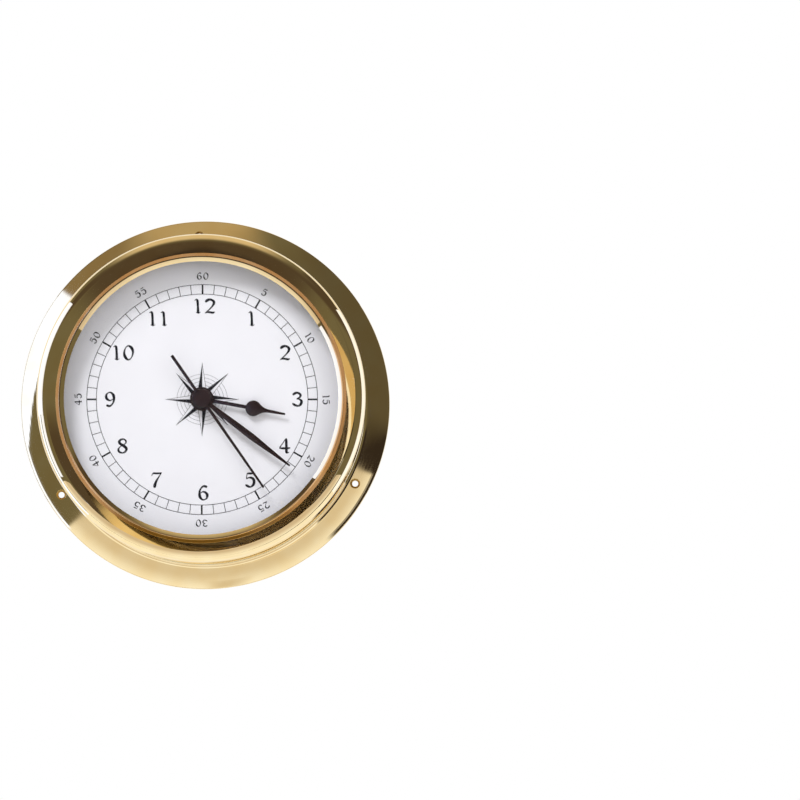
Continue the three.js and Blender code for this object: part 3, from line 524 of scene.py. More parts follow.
# Copies of a mesh drawn at 12 o'clock, turned about the hand axis in equal steps
def turnedCopiesTree():
    tree = bpy.data.node_groups.new("turnedCopies", "GeometryNodeTree")
    inputs = {}
    for name, kind in (("Geometry", "Geometry"), ("Count", "Int"), ("Material", "Material")):
        socket = tree.interface.new_socket(name=name, in_out="INPUT", socket_type="NodeSocket" + kind)
        inputs[name] = socket.identifier
    tree.interface.new_socket(name="Geometry", in_out="OUTPUT", socket_type="NodeSocketGeometry")
    given = addNode(tree, "NodeGroupInput")
    points = addNode(tree, "GeometryNodePoints", None, {"Count": given.outputs["Count"]})
    index = addNode(tree, "GeometryNodeInputIndex")
    share = addNode(tree, "ShaderNodeMath", {"operation": "DIVIDE"}, {0: index, 1: given.outputs["Count"]})
    turn = addNode(tree, "ShaderNodeMath", {"operation": "MULTIPLY", 1: 2 * math.pi}, {0: share})
    spin = addNode(tree, "ShaderNodeCombineXYZ", None, {"Y": turn})
    copies = addNode(
        tree, "GeometryNodeInstanceOnPoints", None,
        {"Points": points, "Instance": given.outputs["Geometry"], "Rotation": spin},
    )
    real = addNode(tree, "GeometryNodeRealizeInstances", None, {"Geometry": copies})
    dressed = addNode(
        tree, "GeometryNodeSetMaterial", None, {"Geometry": real, "Material": given.outputs["Material"]},
    )
    addNode(tree, "NodeGroupOutput", None, {0: dressed})
    return tree, inputs


turnedCopies, copyInputs = turnedCopiesTree()


def repeatRound(piece, count, material):
    modifier = piece.modifiers.new("copies", "NODES")
    modifier.node_group = turnedCopies
    modifier[copyInputs["Count"]] = count
    modifier[copyInputs["Material"]] = material
    return settle(piece)


# Ink is a film on the dial: overlapping strokes are first joined to one flat outline
ink = {"under": 0.005, "film": 0.03, "sliver": 1e-5}


def inkFilm(name, shapes, material):
    bm = bmesh.new()
    foot = -(dialDisc["front"] - ink["under"]) * mm
    for verts, faces in shapes:
        corners = [bm.verts.new((x * mm, foot, z * mm)) for x, z in verts]
        for face in faces:
            bm.faces.new([corners[k] for k in face])
    loose = [corner for corner in bm.verts if not corner.link_faces]
    bmesh.ops.delete(bm, geom=loose, context="VERTS")
    raised = bmesh.ops.extrude_face_region(bm, geom=bm.faces[:], use_keep_orig=True)
    tops = [part for part in raised["geom"] if isinstance(part, bmesh.types.BMVert)]
    bmesh.ops.translate(bm, verts=tops, vec=(0, -(ink["under"] + ink["film"]) * mm, 0))
    return makeObject(name, bm, material)


def joined(polygons):
    coords, faces = [], []
    for polygon in polygons:
        area = sum(p[0] * q[1] - q[0] * p[1] for p, q in zip(polygon, polygon[1:] + polygon[:1]))
        if abs(area) < ink["sliver"]:
            continue
        ordered = polygon if area > 0 else polygon[::-1]
        faces.append(list(range(len(coords), len(coords) + len(ordered))))
        coords.extend(Vector(p) for p in ordered)
    verts, _, triangles, _, _, sources = delaunay_2d_cdt(coords, [], faces, 0, ink["sliver"])
    inked = [triangle for triangle, source in zip(triangles, sources) if source]
    return [tuple(v) for v in verts], inked


# The line of a circle, or of the part of one between two angles, in short straight pieces
def ringPolygons(radius, width, steps, start=0.0, end=2 * math.pi):
    polygons = []
    low, high = radius - width / 2, radius + width / 2
    for k in range(steps):
        a, b = (start + (end - start) * j / steps for j in (k, k + 1))
        corners = [(low, a), (high, a), (high, b), (low, b)]
        polygons.append([(r * math.sin(t), r * math.cos(t)) for r, t in corners])
    return polygons


# Minute track: two circles and sixty divisions, every fifth one bold
track = {
    "outer": 44.6, "inner": 40.9, "line": 0.25, "division": 0.25, "bold": 0.65, "minutes": 60, "hours": 12,
    "steps": 240,
}
circles = [joined(ringPolygons(track[edge], track["line"], track["steps"])) for edge in ("outer", "inner")]
trackCircles = inkFilm("trackCircles", circles, padPrintInk)


def divisionBars(name, width, count):
    half = width / 2
    bar = [(-half, track["inner"]), (half, track["inner"]), (half, track["outer"]), (-half, track["outer"])]
    return repeatRound(inkFilm(name, [joined([bar])], padPrintInk), count, padPrintInk)


minuteDivisions = divisionBars("minuteDivisions", track["division"], track["minutes"])
hourDivisions = divisionBars("hourDivisions", track["bold"], track["hours"])

# Compass rose: eight equal points, each half inked and half outlined, over thin grey circles
rose = {
    "points": 8, "tip": 14.2, "valley": 4.2, "outline": 0.14,
    "rings": (9.75, 8.35, 6.95, 5.55), "ringLine": 0.13, "ringSteps": 12, "trials": 400,
}


def roseValley(r):
    halfTurn = math.pi / r["points"]
    return halfTurn, (r["valley"] * math.sin(halfTurn), r["valley"] * math.cos(halfTurn))


def rosePoint(r):
    side = roseValley(r)[1]
    dark = [(0, 0), (0, r["tip"]), (-side[0], side[1])]
    slope = math.hypot(side[0], r["tip"] - side[1])
    inward = ((r["tip"] - side[1]) / slope * r["outline"], side[0] / slope * r["outline"])
    line = [(0, r["tip"]), side, (side[0] - inward[0], side[1] - inward[1])]
    line.append((-inward[0], r["tip"] - inward[1]))
    return inkFilm("compassRose", [joined([dark, line])], padPrintInk)


# The circles pass behind the points, so each runs only between a point's edge and the next point's edge
def roseRings(r):
    polygons = []
    halfTurn, (sideX, sideY) = roseValley(r)
    for radius in r["rings"]:
        clear = 0.0
        for k in range(r["trials"]):
            turn = halfTurn * k / r["trials"]
            x, z = radius * math.sin(turn), radius * math.cos(turn)
            if x < sideX * (r["tip"] - z) / (r["tip"] - sideY):
                clear = turn
        polygons += ringPolygons(radius, r["ringLine"], r["ringSteps"], clear, 2 * halfTurn - clear)
    return inkFilm("roseRings", [joined(polygons)], greyPrintInk)


compassRose = repeatRound(rosePoint(rose), rose["points"], padPrintInk)
roseCircles = repeatRound(roseRings(rose), rose["points"], greyPrintInk)

# Numerals drawn with a broad pen: each stroke is a run of (x, height, width) in millimetres at hour size
penStrokes = {
    "0": [[(2.0, 5.85, 0.55), (3.25, 4.95, 1.0), (3.8, 3.3, 0.78), (3.3, 1.3, 0.38), (2.1, 0.32, 0.55),
           (0.95, 1.2, 1.0), (0.42, 2.9, 0.78), (0.92, 4.9, 0.38), (2.0, 5.85, 0.55)]],
    "1": [[(1.62, 5.8, 0.5), (1.8, 5.0, 0.85), (1.95, 3.0, 0.8), (2.02, 0.8, 0.86), (2.12, 0.2, 0.3)],
          [(0.6, 5.3, 0.12), (1.1, 5.5, 0.42), (1.65, 5.85, 0.5)],
          [(1.15, 0.62, 0.1), (2.0, 0.45, 0.6)],
          [(2.0, 0.35, 0.55), (2.6, 0.5, 0.3), (3.05, 0.85, 0.08)]],
    "2": [[(0.35, 4.6, 0.55), (0.95, 5.2, 1.0), (1.85, 5.62, 0.85), (2.9, 5.45, 0.8), (3.65, 4.75, 0.95),
           (3.6, 3.9, 0.85), (2.8, 2.7, 0.55), (1.6, 1.5, 0.38), (0.35, 0.45, 0.25)],
          [(0.2, 0.3, 0.15), (1.1, 0.72, 0.6), (2.2, 0.68, 0.75), (3.3, 0.5, 0.75), (4.0, 0.85, 0.35)]],
    "3": [[(0.3, 4.75, 0.5), (1.0, 5.3, 0.9), (1.9, 5.62, 0.75), (2.9, 5.3, 0.8), (3.35, 4.55, 0.85),
           (2.9, 3.8, 0.6), (1.9, 3.25, 0.3)],
          [(1.7, 3.2, 0.25), (2.9, 3.1, 0.55), (3.7, 2.3, 0.95), (3.4, 1.1, 0.9), (2.4, 0.4, 0.6)],
          [(0.2, 1.55, 0.4), (1.0, 0.95, 0.85), (2.4, 0.38, 0.6)]],
    "4": [[(2.65, 5.9, 0.35), (1.4, 4.1, 0.3), (0.25, 2.45, 0.4)],
          [(0.1, 2.25, 0.35), (1.2, 2.2, 0.72), (3.2, 2.2, 0.72), (4.35, 2.35, 0.4)],
          [(2.75, 6.1, 0.3), (2.8, 5.3, 0.85), (2.85, 3.0, 0.9), (2.9, 0.8, 0.9), (3.0, 0.15, 0.35)],
          [(2.7, 0.5, 0.6), (3.3, 0.45, 0.45), (4.0, 0.75, 0.1)]],
    "5": [[(0.75, 5.7, 0.45), (1.8, 5.7, 0.7), (2.8, 5.75, 0.65), (3.5, 6.1, 0.25)],
          [(0.85, 5.75, 0.3), (0.65, 4.6, 0.28), (0.55, 3.6, 0.3)],
          [(0.55, 3.6, 0.3), (1.5, 4.1, 0.5), (2.7, 3.95, 0.8), (3.5, 2.9, 1.0), (3.2, 1.3, 0.9),
           (2.0, 0.35, 0.5)],
          [(0.15, 1.35, 0.4), (1.0, 0.85, 0.9), (2.0, 0.35, 0.5)]],
    "6": [[(3.55, 5.25, 0.75), (2.9, 5.55, 0.85), (2.1, 5.6, 0.7), (1.2, 4.8, 0.55), (0.65, 3.4, 0.75),
           (0.75, 1.7, 1.0), (1.5, 0.6, 0.7), (2.2, 0.3, 0.5)],
          [(0.75, 2.6, 0.25), (1.7, 3.4, 0.4), (2.7, 3.35, 0.7), (3.6, 2.4, 0.95), (3.5, 1.2, 0.7),
           (2.9, 0.55, 0.4), (2.1, 0.3, 0.5)]],
    "7": [[(0.1, 4.75, 0.15), (0.5, 5.4, 0.35), (1.0, 5.85, 0.6)],
          [(0.9, 5.82, 0.6), (2.2, 5.75, 0.68), (3.3, 5.8, 0.6), (4.15, 6.0, 0.3)],
          [(3.9, 5.85, 0.3), (3.0, 4.4, 0.45), (2.1, 2.9, 0.75), (1.55, 1.5, 1.0), (1.35, 0.55, 1.0),
           (1.25, 0.1, 0.4)]],
    "8": [[(3.3, 5.2, 0.5), (2.5, 5.75, 0.55), (1.4, 5.5, 0.7), (0.8, 4.7, 0.9), (1.4, 3.8, 0.95),
           (2.6, 3.1, 1.0), (3.6, 2.1, 0.95), (3.2, 0.9, 0.7), (2.2, 0.35, 0.5)],
          [(2.2, 0.35, 0.5), (1.0, 0.7, 0.7), (0.5, 1.6, 0.75), (1.0, 2.6, 0.4), (2.2, 3.4, 0.3),
           (3.3, 4.2, 0.45), (3.4, 5.0, 0.6), (2.9, 5.6, 0.5)]],
}
penWidths = {
    "0": 4.25, "1": 3.1, "2": 4.2, "3": 4.2, "4": 4.4, "5": 4.1, "6": 4.25, "7": 4.2, "8": 4.1, "9": 4.25,
}
numeralHeight = 6.1
thinnestPen = 0.05
# The nine is the six turned upside down
penStrokes["9"] = [
    [(penWidths["6"] - x, numeralHeight - y, width) for x, y, width in run] for run in penStrokes["6"]
]


# A smooth run through the points given, which carry the pen's width with them
def smoothRun(points, steps):
    run = []
    for k in range(len(points) - 1):
        a, b = Vector(points[max(k - 1, 0)]), Vector(points[k])
        c, d = Vector(points[k + 1]), Vector(points[min(k + 2, len(points) - 1)])
        for j in range(steps):
            t = j / steps
            run.append(0.5 * (2 * b + (c - a) * t + (2 * a - 5 * b + 4 * c - d) * t ** 2
                              + (3 * b - a - 3 * c + d) * t ** 3))
    run.append(Vector(points[-1]))
    return run


def penPolygons(points, look):
    run = smoothRun(points, look["steps"])
    edges = []
    for k, spot in enumerate(run):
        ahead = run[min(k + 1, len(run) - 1)].to_2d() - run[max(k - 1, 0)].to_2d()
        width = max(spot.z, thinnestPen) * look["weight"]
        across = Vector((-ahead.y, ahead.x)).normalized() * width / 2
        edges.append((spot.to_2d() + across, spot.to_2d() - across))
    return [
        [tuple(p) for p in (here[0], here[1], there[1], there[0])] for here, there in zip(edges, edges[1:])
    ]


hourNumerals = {
    "ring": 36.2, "shift": 0.6, "upright": True, "height": 6.1, "weight": 1.1, "gap": 1.35, "steps": 6,
}
# Minute numerals stand on the track with their tops outwards all the way round
minuteNumerals = {
    "ring": 47.9, "shift": 0.0, "upright": False, "height": 2.9, "weight": 1.1, "gap": 1.1, "steps": 4,
}


def digitShapes(look):
    shapes = {}
    for digit, runs in penStrokes.items():
        shapes[digit] = joined([polygon for run in runs for polygon in penPolygons(run, look)])
    return shapes


# A number's digits side by side, centred on the origin, scaled to the height asked for
def numberShape(number, shapes, look):
    scale = look["height"] / numeralHeight
    digits = str(number)
    length = sum(penWidths[d] for d in digits) + look["gap"] * (len(digits) - 1)
    start = -length / 2
    placed = []
    for digit in digits:
        verts, faces = shapes[digit]
        placed.append(([((x + start) * scale, (y - numeralHeight / 2) * scale) for x, y in verts], faces))
        start += penWidths[digit] + look["gap"]
    return placed


# Numbers spread evenly round the dial, the last one at the top
def printNumbers(name, look, numbers):
    shapes = digitShapes(look)
    placed = []
    for place, number in enumerate(numbers, 1):
        turn = 2 * math.pi * place / len(numbers)
        sine, cosine = math.sin(turn), math.cos(turn)
        x, z = look["ring"] * sine + look["shift"], look["ring"] * cosine
        lean, rise = (0, 1) if look["upright"] else (sine, cosine)
        for verts, faces in numberShape(number, shapes, look):
            turned = [(px * rise + pz * lean + x, pz * rise - px * lean + z) for px, pz in verts]
            placed.append((turned, faces))
    return inkFilm(name, placed, padPrintInk)


printed = [trackCircles, minuteDivisions, hourDivisions, compassRose, roseCircles]
printed.append(printNumbers("hourNumerals", hourNumerals, range(1, 13)))
printed.append(printNumbers("minuteNumerals", minuteNumerals, range(5, 65, 5)))
for film in printed:
    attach(film, bodyOf["dial_plate"])
print("dial printed:", len(printed), "films")


# A stamped plate from a plan outline drawn at 12 o'clock, with eased edges, turned clockwise by the angle
def stamped(outline, back, front, ease, angle):
    bm = bmesh.new()
    sine, cosine = math.sin(math.radians(angle)), math.cos(math.radians(angle))
    corners = [bm.verts.new(((x * cosine + y * sine) * mm, -back * mm, (y * cosine - x * sine) * mm))
               for x, y in outline]
    face = bm.faces.new(corners)
    raised = bmesh.ops.extrude_face_region(bm, geom=[face], use_keep_orig=True)["geom"]
    tops = [part for part in raised if isinstance(part, bmesh.types.BMVert)]
    bmesh.ops.translate(bm, verts=tops, vec=(0, -(front - back) * mm, 0))
    rim = [part for part in raised if isinstance(part, bmesh.types.BMEdge)]
    bmesh.ops.bevel(
        bm, geom=rim, offset=ease * mm, segments=3, profile=0.5, affect="EDGES", clamp_overlap=True,
    )
    return bm


def mirrored(half):
    return half + [(-x, y) for x, y in reversed(half)]


# Hour hand: straight stem, round bulb and a hollow taper to a thin blunt tip
hourHand = {
    "angle": 100.4, "back": 30.7, "front": 31.2, "proud": 0.05, "ease": 0.12, "hub": 4.5, "bore": 2.2,
    "root": 3.0, "stem": 0.7, "stemEnd": 0.5, "bulb": 3.05, "bulbCentre": 20.2, "leave": 40,
    "pull": 0.45, "taperSteps": 14, "waist": (0.62, 27.0), "tip": (0.38, 32.7),
}
# Minute hand: a long lance, widest past its middle
minuteHand = {
    "angle": 127.3, "back": 32.1, "front": 32.6, "proud": 0.05, "ease": 0.12, "hub": 4.5, "bore": 1.5,
    "root": (0.75, 2.8), "middle": (1.12, 14.0), "widest": (1.3, 24.5), "tip": (0.36, 42.8), "steps": 10,
}
# Second hand: a straight needle with a square tail, under a round cap
secondHand = {
    "angle": 145.1, "back": 33.5, "front": 34.0, "ease": 0.1, "root": (0.62, 0.5), "tip": (0.42, 42.0),
    "tail": (0.6, 20.2), "cap": 3.7, "capTop": 3.05, "capFront": 34.3, "capFoot": 0.1, "capFlat": 0.15,
}
hubSegments = 96


def hourBlade(h):
    neck = h["bulbCentre"] - math.sqrt(h["bulb"] ** 2 - h["stem"] ** 2)
    begin = math.degrees(math.atan2(neck - h["bulbCentre"], h["stem"]))
    half = [(h["stem"], h["root"]), (h["stem"], neck - h["stemEnd"])]
    half += arcPoints((0, h["bulbCentre"]), (h["bulb"], h["bulb"]), begin, h["leave"], steps=28)
    leaveX, leaveY = half[-1]
    away = math.radians(h["leave"])
    pull = (h["waist"][1] - leaveY) * h["pull"]
    easeOut = (leaveX - pull * math.sin(away), leaveY + pull * math.cos(away))
    easeIn = (h["waist"][0], h["waist"][1] - pull)
    knots = ((leaveX, leaveY), easeOut, easeIn, h["waist"])
    for k in range(1, h["taperSteps"] + 1):
        t = k / h["taperSteps"]
        weights = ((1 - t) ** 3, 3 * t * (1 - t) ** 2, 3 * t * t * (1 - t), t ** 3)
        half.append(tuple(sum(w * p[axis] for w, p in zip(weights, knots)) for axis in (0, 1)))
    half.append(h["tip"])
    return mirrored(half)


def minuteBlade(m):
    points = [(*m["root"], 0), (*m["middle"], 0), (*m["widest"], 0)]
    half = [tuple(p.to_2d()) for p in smoothRun(points, m["steps"])]
    half.append(m["tip"])
    return mirrored(half)


def bladedHand(name, node, look, outline):
    blade = stamped(outline, look["back"], look["front"] - look["proud"], look["ease"], look["angle"])
    hub = ringProfile(look["bore"], look["hub"], look["back"], look["front"], look["ease"])
    piece = makeObject(name, mergeMeshes(blade, lathe(hub, hubSegments)), stovedEnamel)
    standFor(piece, node)


bladedHand("spadeHourHand", "hour_hand", hourHand, hourBlade(hourHand))
bladedHand("lanceMinuteHand", "minute_hand", minuteHand, minuteBlade(minuteHand))


def needleHand(s):
    tailHalf, tailEnd = s["tail"]
    outline = mirrored([(tailHalf, -tailEnd), (tailHalf, 0), s["root"], s["tip"]])
    blade = stamped(outline, s["back"], s["front"], s["ease"], s["angle"])
    foot = s["capFoot"]
    crown = (s["cap"] - s["capTop"], s["capFront"] - s["back"] - foot)
    cap = [(0, s["back"]), (s["cap"] - foot, s["back"]), (s["cap"], s["back"] + foot)]
    cap += arcPoints((s["capTop"], s["back"] + foot), crown, 0, 90, steps=14)[1:]
    cap += [(s["capTop"] - s["capFlat"], s["capFront"]), (0, s["capFront"])]
    piece = makeObject("needleSecondHand", mergeMeshes(blade, lathe(cap, hubSegments)), stovedEnamel)
    standFor(piece, "second_hand")


needleHand(secondHand)
print("hands made")

# Moulded and bent pieces behind the dial: a copy of the solid with its outer edges eased
easedPieces = {
    "movement_shell": (0.25, mouldedBlackAbs, "black_plastic"),
    "movement_cover": (0.25, mouldedBlackAbs, "black_plastic"),
    "setting_knob": (0.2, mouldedBlackAbs, "black_plastic"),
    "positive_contact": (0.08, platedSteel, "plain_steel"),
    "negative_contact": (0.08, platedSteel, "plain_steel"),
}
easing = {"merge": 1e-6, "flat": 0.5, "sharp": 40, "segments": 2}


def easedCopy(node, ease, material):
    bm = bmesh.new()
    bm.from_mesh(frame["nodes"][node].data)
    bmesh.ops.remove_doubles(bm, verts=bm.verts, dist=easing["merge"])
    bmesh.ops.dissolve_limit(bm, angle_limit=math.radians(easing["flat"]), verts=bm.verts, edges=bm.edges)
    name = "eased" + "".join(word.capitalize() for word in node.split("_"))
    piece = makeObject(name, bm, material)
    bevel = piece.modifiers.new("eased", "BEVEL")
    bevel.width = ease * mm
    bevel.segments = easing["segments"]
    bevel.limit_method = "ANGLE"
    bevel.angle_limit = math.radians(easing["sharp"])
    settle(piece, easing["sharp"])
    standFor(piece, node)


for node, (ease, material, slot) in easedPieces.items():
    easedCopy(node, ease, material)

# Dry cell: a sleeved can with a rolled edge at each end, a flat base and a nub
cell = {
    "radius": 7.25, "start": -25.25, "length": 49.2, "depth": 18.05, "height": -19.25, "segments": 96,
    "rim": 0.8, "base": 2.2, "baseFoot": 2.0, "groove": 1.2, "grooveDepth": 0.25,
    "top": 1.3, "topDepth": 0.3, "nub": 2.75, "nubFoot": 0.2, "nubLength": 1.3, "nubRound": 0.3,
}


def dryCell(c):
    end, rim, radius, nub, nubRound = c["length"], c["rim"], c["radius"], c["nub"], c["nubRound"]
    topDepth, nubEnd = end - c["topDepth"], end + c["nubLength"]
    profile = [(0, 0), (radius - c["base"], 0)]
    profile += [(radius - inset, c["grooveDepth"]) for inset in (c["baseFoot"], c["groove"])]
    profile += arcPoints((radius - rim, rim), (rim, rim), 250, 360)
    profile += arcPoints((radius - rim, end - rim), (rim, rim), 0, 110)
    profile += [(radius - c["top"], topDepth), (nub + c["nubFoot"], topDepth), (nub, end)]
    profile += arcPoints((nub - nubRound, nubEnd - nubRound), (nubRound, nubRound), 0, 90, steps=4)
    profile += [(0, nubEnd)]
    bm = lathe(profile, c["segments"])
    # The profile runs forward from the wall, so it is swung until it runs along +X
    bm.transform(Matrix.Rotation(math.radians(90), 4, "Z"))
    bm.transform(Matrix.Translation((c["start"] * mm, -c["depth"] * mm, c["height"] * mm)))
    standFor(makeObject("sleevedCell", bm, shrinkSleeve), "dry_cell")


dryCell(cell)

# Solids that keep their own shape take these finishes
keptSolids = {
    "centre_bush": turnedBrass, "dial_washer": stovedEnamel, "dial_nut": stovedEnamel,
    "dial_cushion": nitrileRubber, "middle_plate": naturalAcetal, "seconds_wheel": naturalAcetal,
    "third_wheel": naturalAcetal, "intermediate_wheel": naturalAcetal, "rotor": platedSteel,
    "cannon_pinion": turnedBrass, "centre_wheel": naturalAcetal, "minute_wheel": naturalAcetal,
    "hour_wheel": naturalAcetal, "stator": platedSteel, "motor_coil": copperWire,
    "circuit_board": solderResist, "quartz_crystal": platedSteel,
}
for node, material in keptSolids.items():
    solid = frame["nodes"][node]
    solid.data.materials.clear()
    solid.data.materials.append(material)
print("movement dressed")

# Studio: pale floor, white surround, and panels that only reflections see, as are set round polished metal.
# Panel sizes are metres, their shades linear light.
studio = {
    "floor": -0.3, "floorHalf": 3.0, "floorShades": ("dedad2", "e4e1da"), "daylight": 0.56,
    "key": {"place": (-0.6, -1.15, 1.2), "size": 0.7, "power": 17},
    "fill": {"place": (1.2, -1.4, 0.4), "size": 1.2, "power": 5.5},
    "room": {"front": -2.3, "side": 2.0, "back": 1.0, "top": 1.7, "foot": -1.0},
    "stripHeight": -0.98,
    "strip": ((-2.0, -0.07), (2.0, -0.07), (2.0, -0.36), (0.2, -0.18), (-2.0, -0.18)),
}
shades = {
    "olive": (0.171, 0.156, 0.1, 1),
    "shadedOlive": (0.118, 0.104, 0.07, 1),
    "darkBrown": (0.09, 0.068, 0.047, 1),
    "darkest": (0.036, 0.028, 0.024, 1),
    "apricot": (0.82, 0.616, 0.547, 1),
    "coolGrey": (0.62, 0.66, 1.5, 1),
    "dullGold": (0.263, 0.21, 0.128, 1),
    "warmGold": (0.5, 0.41, 0.26, 1),
    "ceilingGold": (0.75, 0.64, 0.46, 1),
    "dullTan": (0.72, 0.66, 0.62, 1),
    "tan": (0.775, 0.73, 0.665, 1),
    "cream": (1.1, 1.14, 1.2, 1),
    "paleCream": (1.2, 1.35, 1.9, 1),
    "white": (1.2, 1.5, 2.6, 1),
}


def paleWorld(s):
    world = bpy.data.worlds.new("paleStudio")
    world.use_nodes = True
    tree = world.node_tree
    path = addNode(tree, "ShaderNodeLightPath")
    direct = addNode(
        tree, "ShaderNodeMath", {"operation": "MAXIMUM"},
        {0: path.outputs["Is Camera Ray"], 1: path.outputs["Is Glossy Ray"]},
    )
    shown = addNode(
        tree, "ShaderNodeMath", {"operation": "MAXIMUM"},
        {0: direct, 1: path.outputs["Is Transmission Ray"]},
    )
    strength = addNode(tree, "ShaderNodeMapRange", {3: s["daylight"], 4: 1.0}, {0: shown})
    background = tree.nodes["Background"]
    background.inputs["Color"].default_value = (1, 1, 1, 1)
    tree.links.new(strength.outputs[0], background.inputs["Strength"])
    scene.world = world


def paleFloor(s):
    half, height = s["floorHalf"], s["floor"]
    bm = bmesh.new()
    corners = ((-half, -half), (half, -half), (half, half), (-half, half))
    bm.faces.new([bm.verts.new((x, y, height)) for x, y in corners])
    floor = makeObject("floor", bm, grainyFinish("paleFloor", {
        "shades": s["floorShades"], "mottle": 60, "grain": 4, "relief": 0.05, "rough": (0.6, 0.75),
    }, {}))
    floor.visible_glossy = False  # the lower sheet stands for it in reflections


def areaLamp(name, look):
    lamp = bpy.data.lights.new(name, "AREA")
    lamp.shape = "DISK"
    lamp.size = look["size"]
    lamp.energy = look["power"]
    holder = bpy.data.objects.new(name, lamp)
    holder.location = look["place"]
    holder.rotation_euler = (-Vector(look["place"])).to_track_quat("-Z", "Y").to_euler()
    holder.visible_glossy = False  # the panels give the reflections
    scene.collection.objects.link(holder)


# A panel that only reflections see
def panel(name, faces, material):
    bm = bmesh.new()
    for corners in faces:
        bm.faces.new([bm.verts.new(corner) for corner in corners])
    piece = makeObject(name, bm, material)
    piece.visible_camera = False
    piece.visible_diffuse = False
    piece.visible_transmission = False
    piece.visible_shadow = False


# A glowing finish, with the spot on the panel that its patterns follow
def glowFinish(name):
    material = bpy.data.materials.new(name)
    material.use_nodes = True
    tree = material.node_tree
    tree.nodes.remove(tree.nodes["Principled BSDF"])
    glow = addNode(tree, "ShaderNodeEmission")
    tree.links.new(glow.outputs[0], tree.nodes["Material Output"].inputs["Surface"])
    spot = addNode(tree, "ShaderNodeTexCoord").outputs["Object"]
    return material, tree, glow, spot


# The dark room behind the camera, as patches laid over an olive ground. Each patch ends at its bounds, and a
# bound is what is measured, along or from where, and the readings at which the patch is none and whole.
place, aim, distance = ("place", "DOT_PRODUCT"), ("aim", "DOT_PRODUCT"), ("place", "DISTANCE")
across, up, ahead = (1, 0, 0), (0, 0, 1), (0, 1, 0)
roomMiddle = (-0.108, -2.3, 0.175)  # what a flat mirror at the clock's middle shows the camera
sheetMiddle = (-0.06, -2.3, 0.14)
frontWall = (aim, ahead, -0.75, -0.85)
offSide = (place, across, -1.5, -1.3)  # ends short of the left wall


# A bound on the front wall at a ray from its middle, so many degrees clockwise from straight up
def past(angle, blur):
    turn = math.radians(angle)
    along = (math.cos(turn), 0, -math.sin(turn))
    level = along[0] * roomMiddle[0] + along[2] * roomMiddle[2]
    return place, along, level - blur, level + blur


def before(angle, blur):
    return past(angle + 180, blur)


roomPatches = {
    "darkBelow": ("darkBrown", [(aim, up, -0.46, -0.76), (place, up, -0.9, -0.97)]),
    # the cone's foot reflects this darkest band: painted shade for the shadow of the lip's edge there
    "paintedShadeBelowEdge": ("darkest", [(place, (0.041, 1, 0), -0.1615, -0.1585), (place, up, -0.9, -0.97)]),
    "darkOverhead": ("darkBrown", [(aim, up, 0.4, 0.55), (aim, up, 0.985, 0.65), (aim, ahead, -0.05, -0.2)]),
    "goldCeiling": ("ceilingGold", [
        (place, up, 1.6, 1.69), (place, ahead, -1.1, -0.15), (place, across, -1.3, -0.6),
        (place, across, 1.0, 0.35),
    ]),
    "darkUpperRight": ("darkBrown", [
        (place, across, 1.05, 1.3), (place, up, 0.1, 0.8), (place, ahead, -0.6, -0.35),
    ]),
    "shadedRight": ("shadedOlive", [past(30, 0.08), before(100, 0.03), frontWall]),
    "dullUpperLeft": ("dullGold", [past(300, 0.01), before(372, 0.05), frontWall]),
    "warmTop": ("warmGold", [past(338, 0.05), before(375, 0.05), (place, up, 0.3, 0.42), frontWall]),
    "darkRight": ("darkest", [past(98, 0.03), before(120, 0.01), frontWall]),
    # a dark disc that the lip's crest reflects: painted shade, giving the dark line along the crest
    "paintedShadeDisc": ("darkBrown", [(distance, roomMiddle, 0.115, 0.106)]),
    "litRing": ("coolGrey", [
        (distance, roomMiddle, 0.113, 0.119), (distance, roomMiddle, 0.152, 0.147), (place, up, 0.05, 0.085),
        (place, across, 0.036, 0.031),
    ]),
    "litSheet": ("apricot", [
        (distance, sheetMiddle, 0.114, 0.107), (place, up, 0.208, 0.2), (place, up, 0.1, 0.14),
        (place, across, 0.01, -0.01),
    ]),
    "paleLowerWall": ("tan", [
        past(112.5, 0.003), before(228, 0.004), (distance, roomMiddle, 0.14, 0.155), frontWall,
    ]),
    "creamLowerWall": ("cream", [
        past(112.5, 0.003), before(228, 0.004), (distance, roomMiddle, 0.22, 0.45), frontWall,
    ]),
    "tanSpot": ("tan", [
        (place, across, -0.12, -0.066), (place, across, 0.0, -0.056), (place, up, -0.25, -0.215),
        (place, up, -0.12, -0.17), frontWall,
    ]),
    "darkStreak": ("darkest", [
        past(100, 0.01), before(136, 0.02), (distance, roomMiddle, 0.36, 0.39), frontWall,
    ]),
    "brightOpening": ("white", [
        (place, (-0.647, 0, 0.763), 0.377, 0.384), before(309, 0.004), offSide,
        (distance, roomMiddle, 0.142, 0.148),
    ]),
    "brightLowerLeft": ("white", [
        past(227.5, 0.004), before(275, 0.01), (distance, roomMiddle, 0.38, 0.4), offSide, frontWall,
    ]),
}
softly = {"interpolation_type": "SMOOTHSTEP"}  # patches and cloths fade with no hard edge


def roomFinish(patches):
    material, tree, glow, spot = glowFinish("studioRoom")
    direction = addNode(tree, "ShaderNodeVectorMath", {"operation": "NORMALIZE"}, {0: spot})
    sources = {"place": spot, "aim": direction}
    below = {}
    for colour, bounds in patches.values():
        share = None
        for (source, operation), vector, none, whole in bounds:
            measured = {"operation": operation, 1: vector}
            reading = addNode(tree, "ShaderNodeVectorMath", measured, {0: sources[source]}).outputs["Value"]
            step = addNode(tree, "ShaderNodeMapRange", {**softly, 1: none, 2: whole}, {0: reading})
            if share:
                step = addNode(tree, "ShaderNodeMath", {"operation": "MULTIPLY"}, {0: share, 1: step})
            share = step
        mixed = {"data_type": "RGBA", 6: shades["olive"], 7: shades[colour]}
        shade = addNode(tree, "ShaderNodeMix", mixed, {0: share, **below}).outputs[2]
        below = {6: shade}
    tree.links.new(shade, glow.inputs[0])
    return material


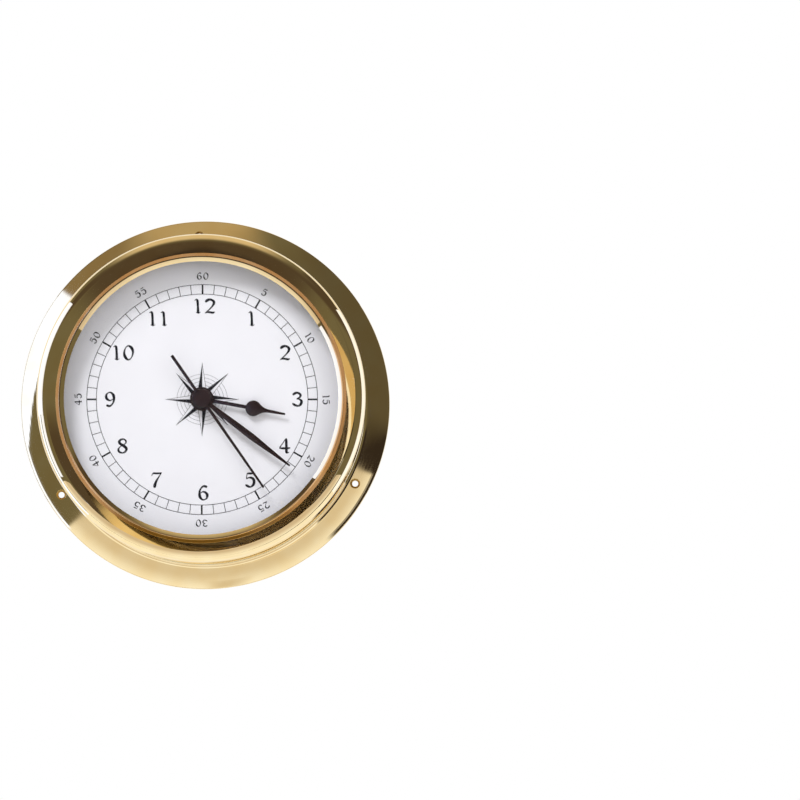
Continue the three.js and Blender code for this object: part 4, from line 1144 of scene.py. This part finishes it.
def studioRoom(s):
    r = s["room"]
    left, right, front, back, top, floor = -r["side"], r["side"], r["front"], r["back"], r["top"], r["foot"]
    walls = [
        [(left, front, floor), (right, front, floor), (right, front, top), (left, front, top)],
        [(left, front, floor), (left, back, floor), (left, back, top), (left, front, top)],
        [(right, front, floor), (right, back, floor), (right, back, top), (right, front, top)],
        [(left, front, top), (right, front, top), (right, back, top), (left, back, top)],
    ]
    # A strip of dark floor in front of the clock, wider towards the right
    walls.append([(x, y, s["stripHeight"]) for x, y in s["strip"]])
    panel("studioRoom", walls, roomFinish(roomPatches))


# Cloth is never quite even, so each sheet's light drifts a little across it. It also dims towards the room.
cloth = {"from": -0.05, "to": -1.2, "far": shades["dullTan"], "patches": 3.0, "drift": (0.88, 1.12)}


def clothFinish(name, shade, c):
    material, tree, glow, spot = glowFinish(name)
    forward = addNode(tree, "ShaderNodeSeparateXYZ", None, {0: spot}).outputs[1]
    share = addNode(tree, "ShaderNodeMapRange", {**softly, 1: c["from"], 2: c["to"]}, {0: forward})
    colour = addNode(tree, "ShaderNodeMix", {"data_type": "RGBA", 6: shade, 7: c["far"]}, {0: share})
    uneven = addNode(tree, "ShaderNodeTexNoise", {"Scale": c["patches"]}, {0: spot})
    drift = addNode(tree, "ShaderNodeMapRange", {3: c["drift"][0], 4: c["drift"][1]}, {0: uneven})
    tree.links.new(colour.outputs[2], glow.inputs[0])
    tree.links.new(drift.outputs[0], glow.inputs[1])
    return material


# White and cream sheets at both sides, one more at the left that the lip shows, a cream sheet below and a
# small card under the bezel. Each is two opposite corners; the thin way gives its plane.
sheets = {
    "leftSheet": ("white", (-0.9, -0.47, -0.03), (-0.9, 0.5, 0.7)),
    "lipSheet": ("white", (-0.9, -0.5, -0.42), (-0.9, -0.13, -0.03)),
    "lowLeftSheet": ("white", (-0.9, -0.03, -0.8), (-0.9, 0.35, -0.03)),
    "rightSheet": ("paleCream", (0.9, -0.065, -0.6), (0.9, 0.8, 0.7)),
    "lowerSheet": ("cream", (-2.0, -2.3, -1.0), (2.0, 1.5, -1.0)),
    "lowerCard": ("cream", (-0.11, -0.0462, -0.1), (0.11, -0.0375, -0.1)),
}


def sheetPanels(look):
    for name, (shade, low, high) in look.items():
        (x0, y0, z0), (x1, y1, z1) = low, high
        if x0 == x1:
            corners = [(x0, y0, z0), (x0, y1, z0), (x0, y1, z1), (x0, y0, z1)]
        else:
            corners = [(x0, y0, z0), (x1, y0, z0), (x1, y1, z0), (x0, y1, z0)]
        panel(name, [corners], clothFinish(shade + "Cloth", shades[shade], cloth))


paleWorld(studio)
paleFloor(studio)
areaLamp("keyLamp", studio["key"])
areaLamp("fillLamp", studio["fill"])
studioRoom(studio)
sheetPanels(sheets)
print("studio lit")
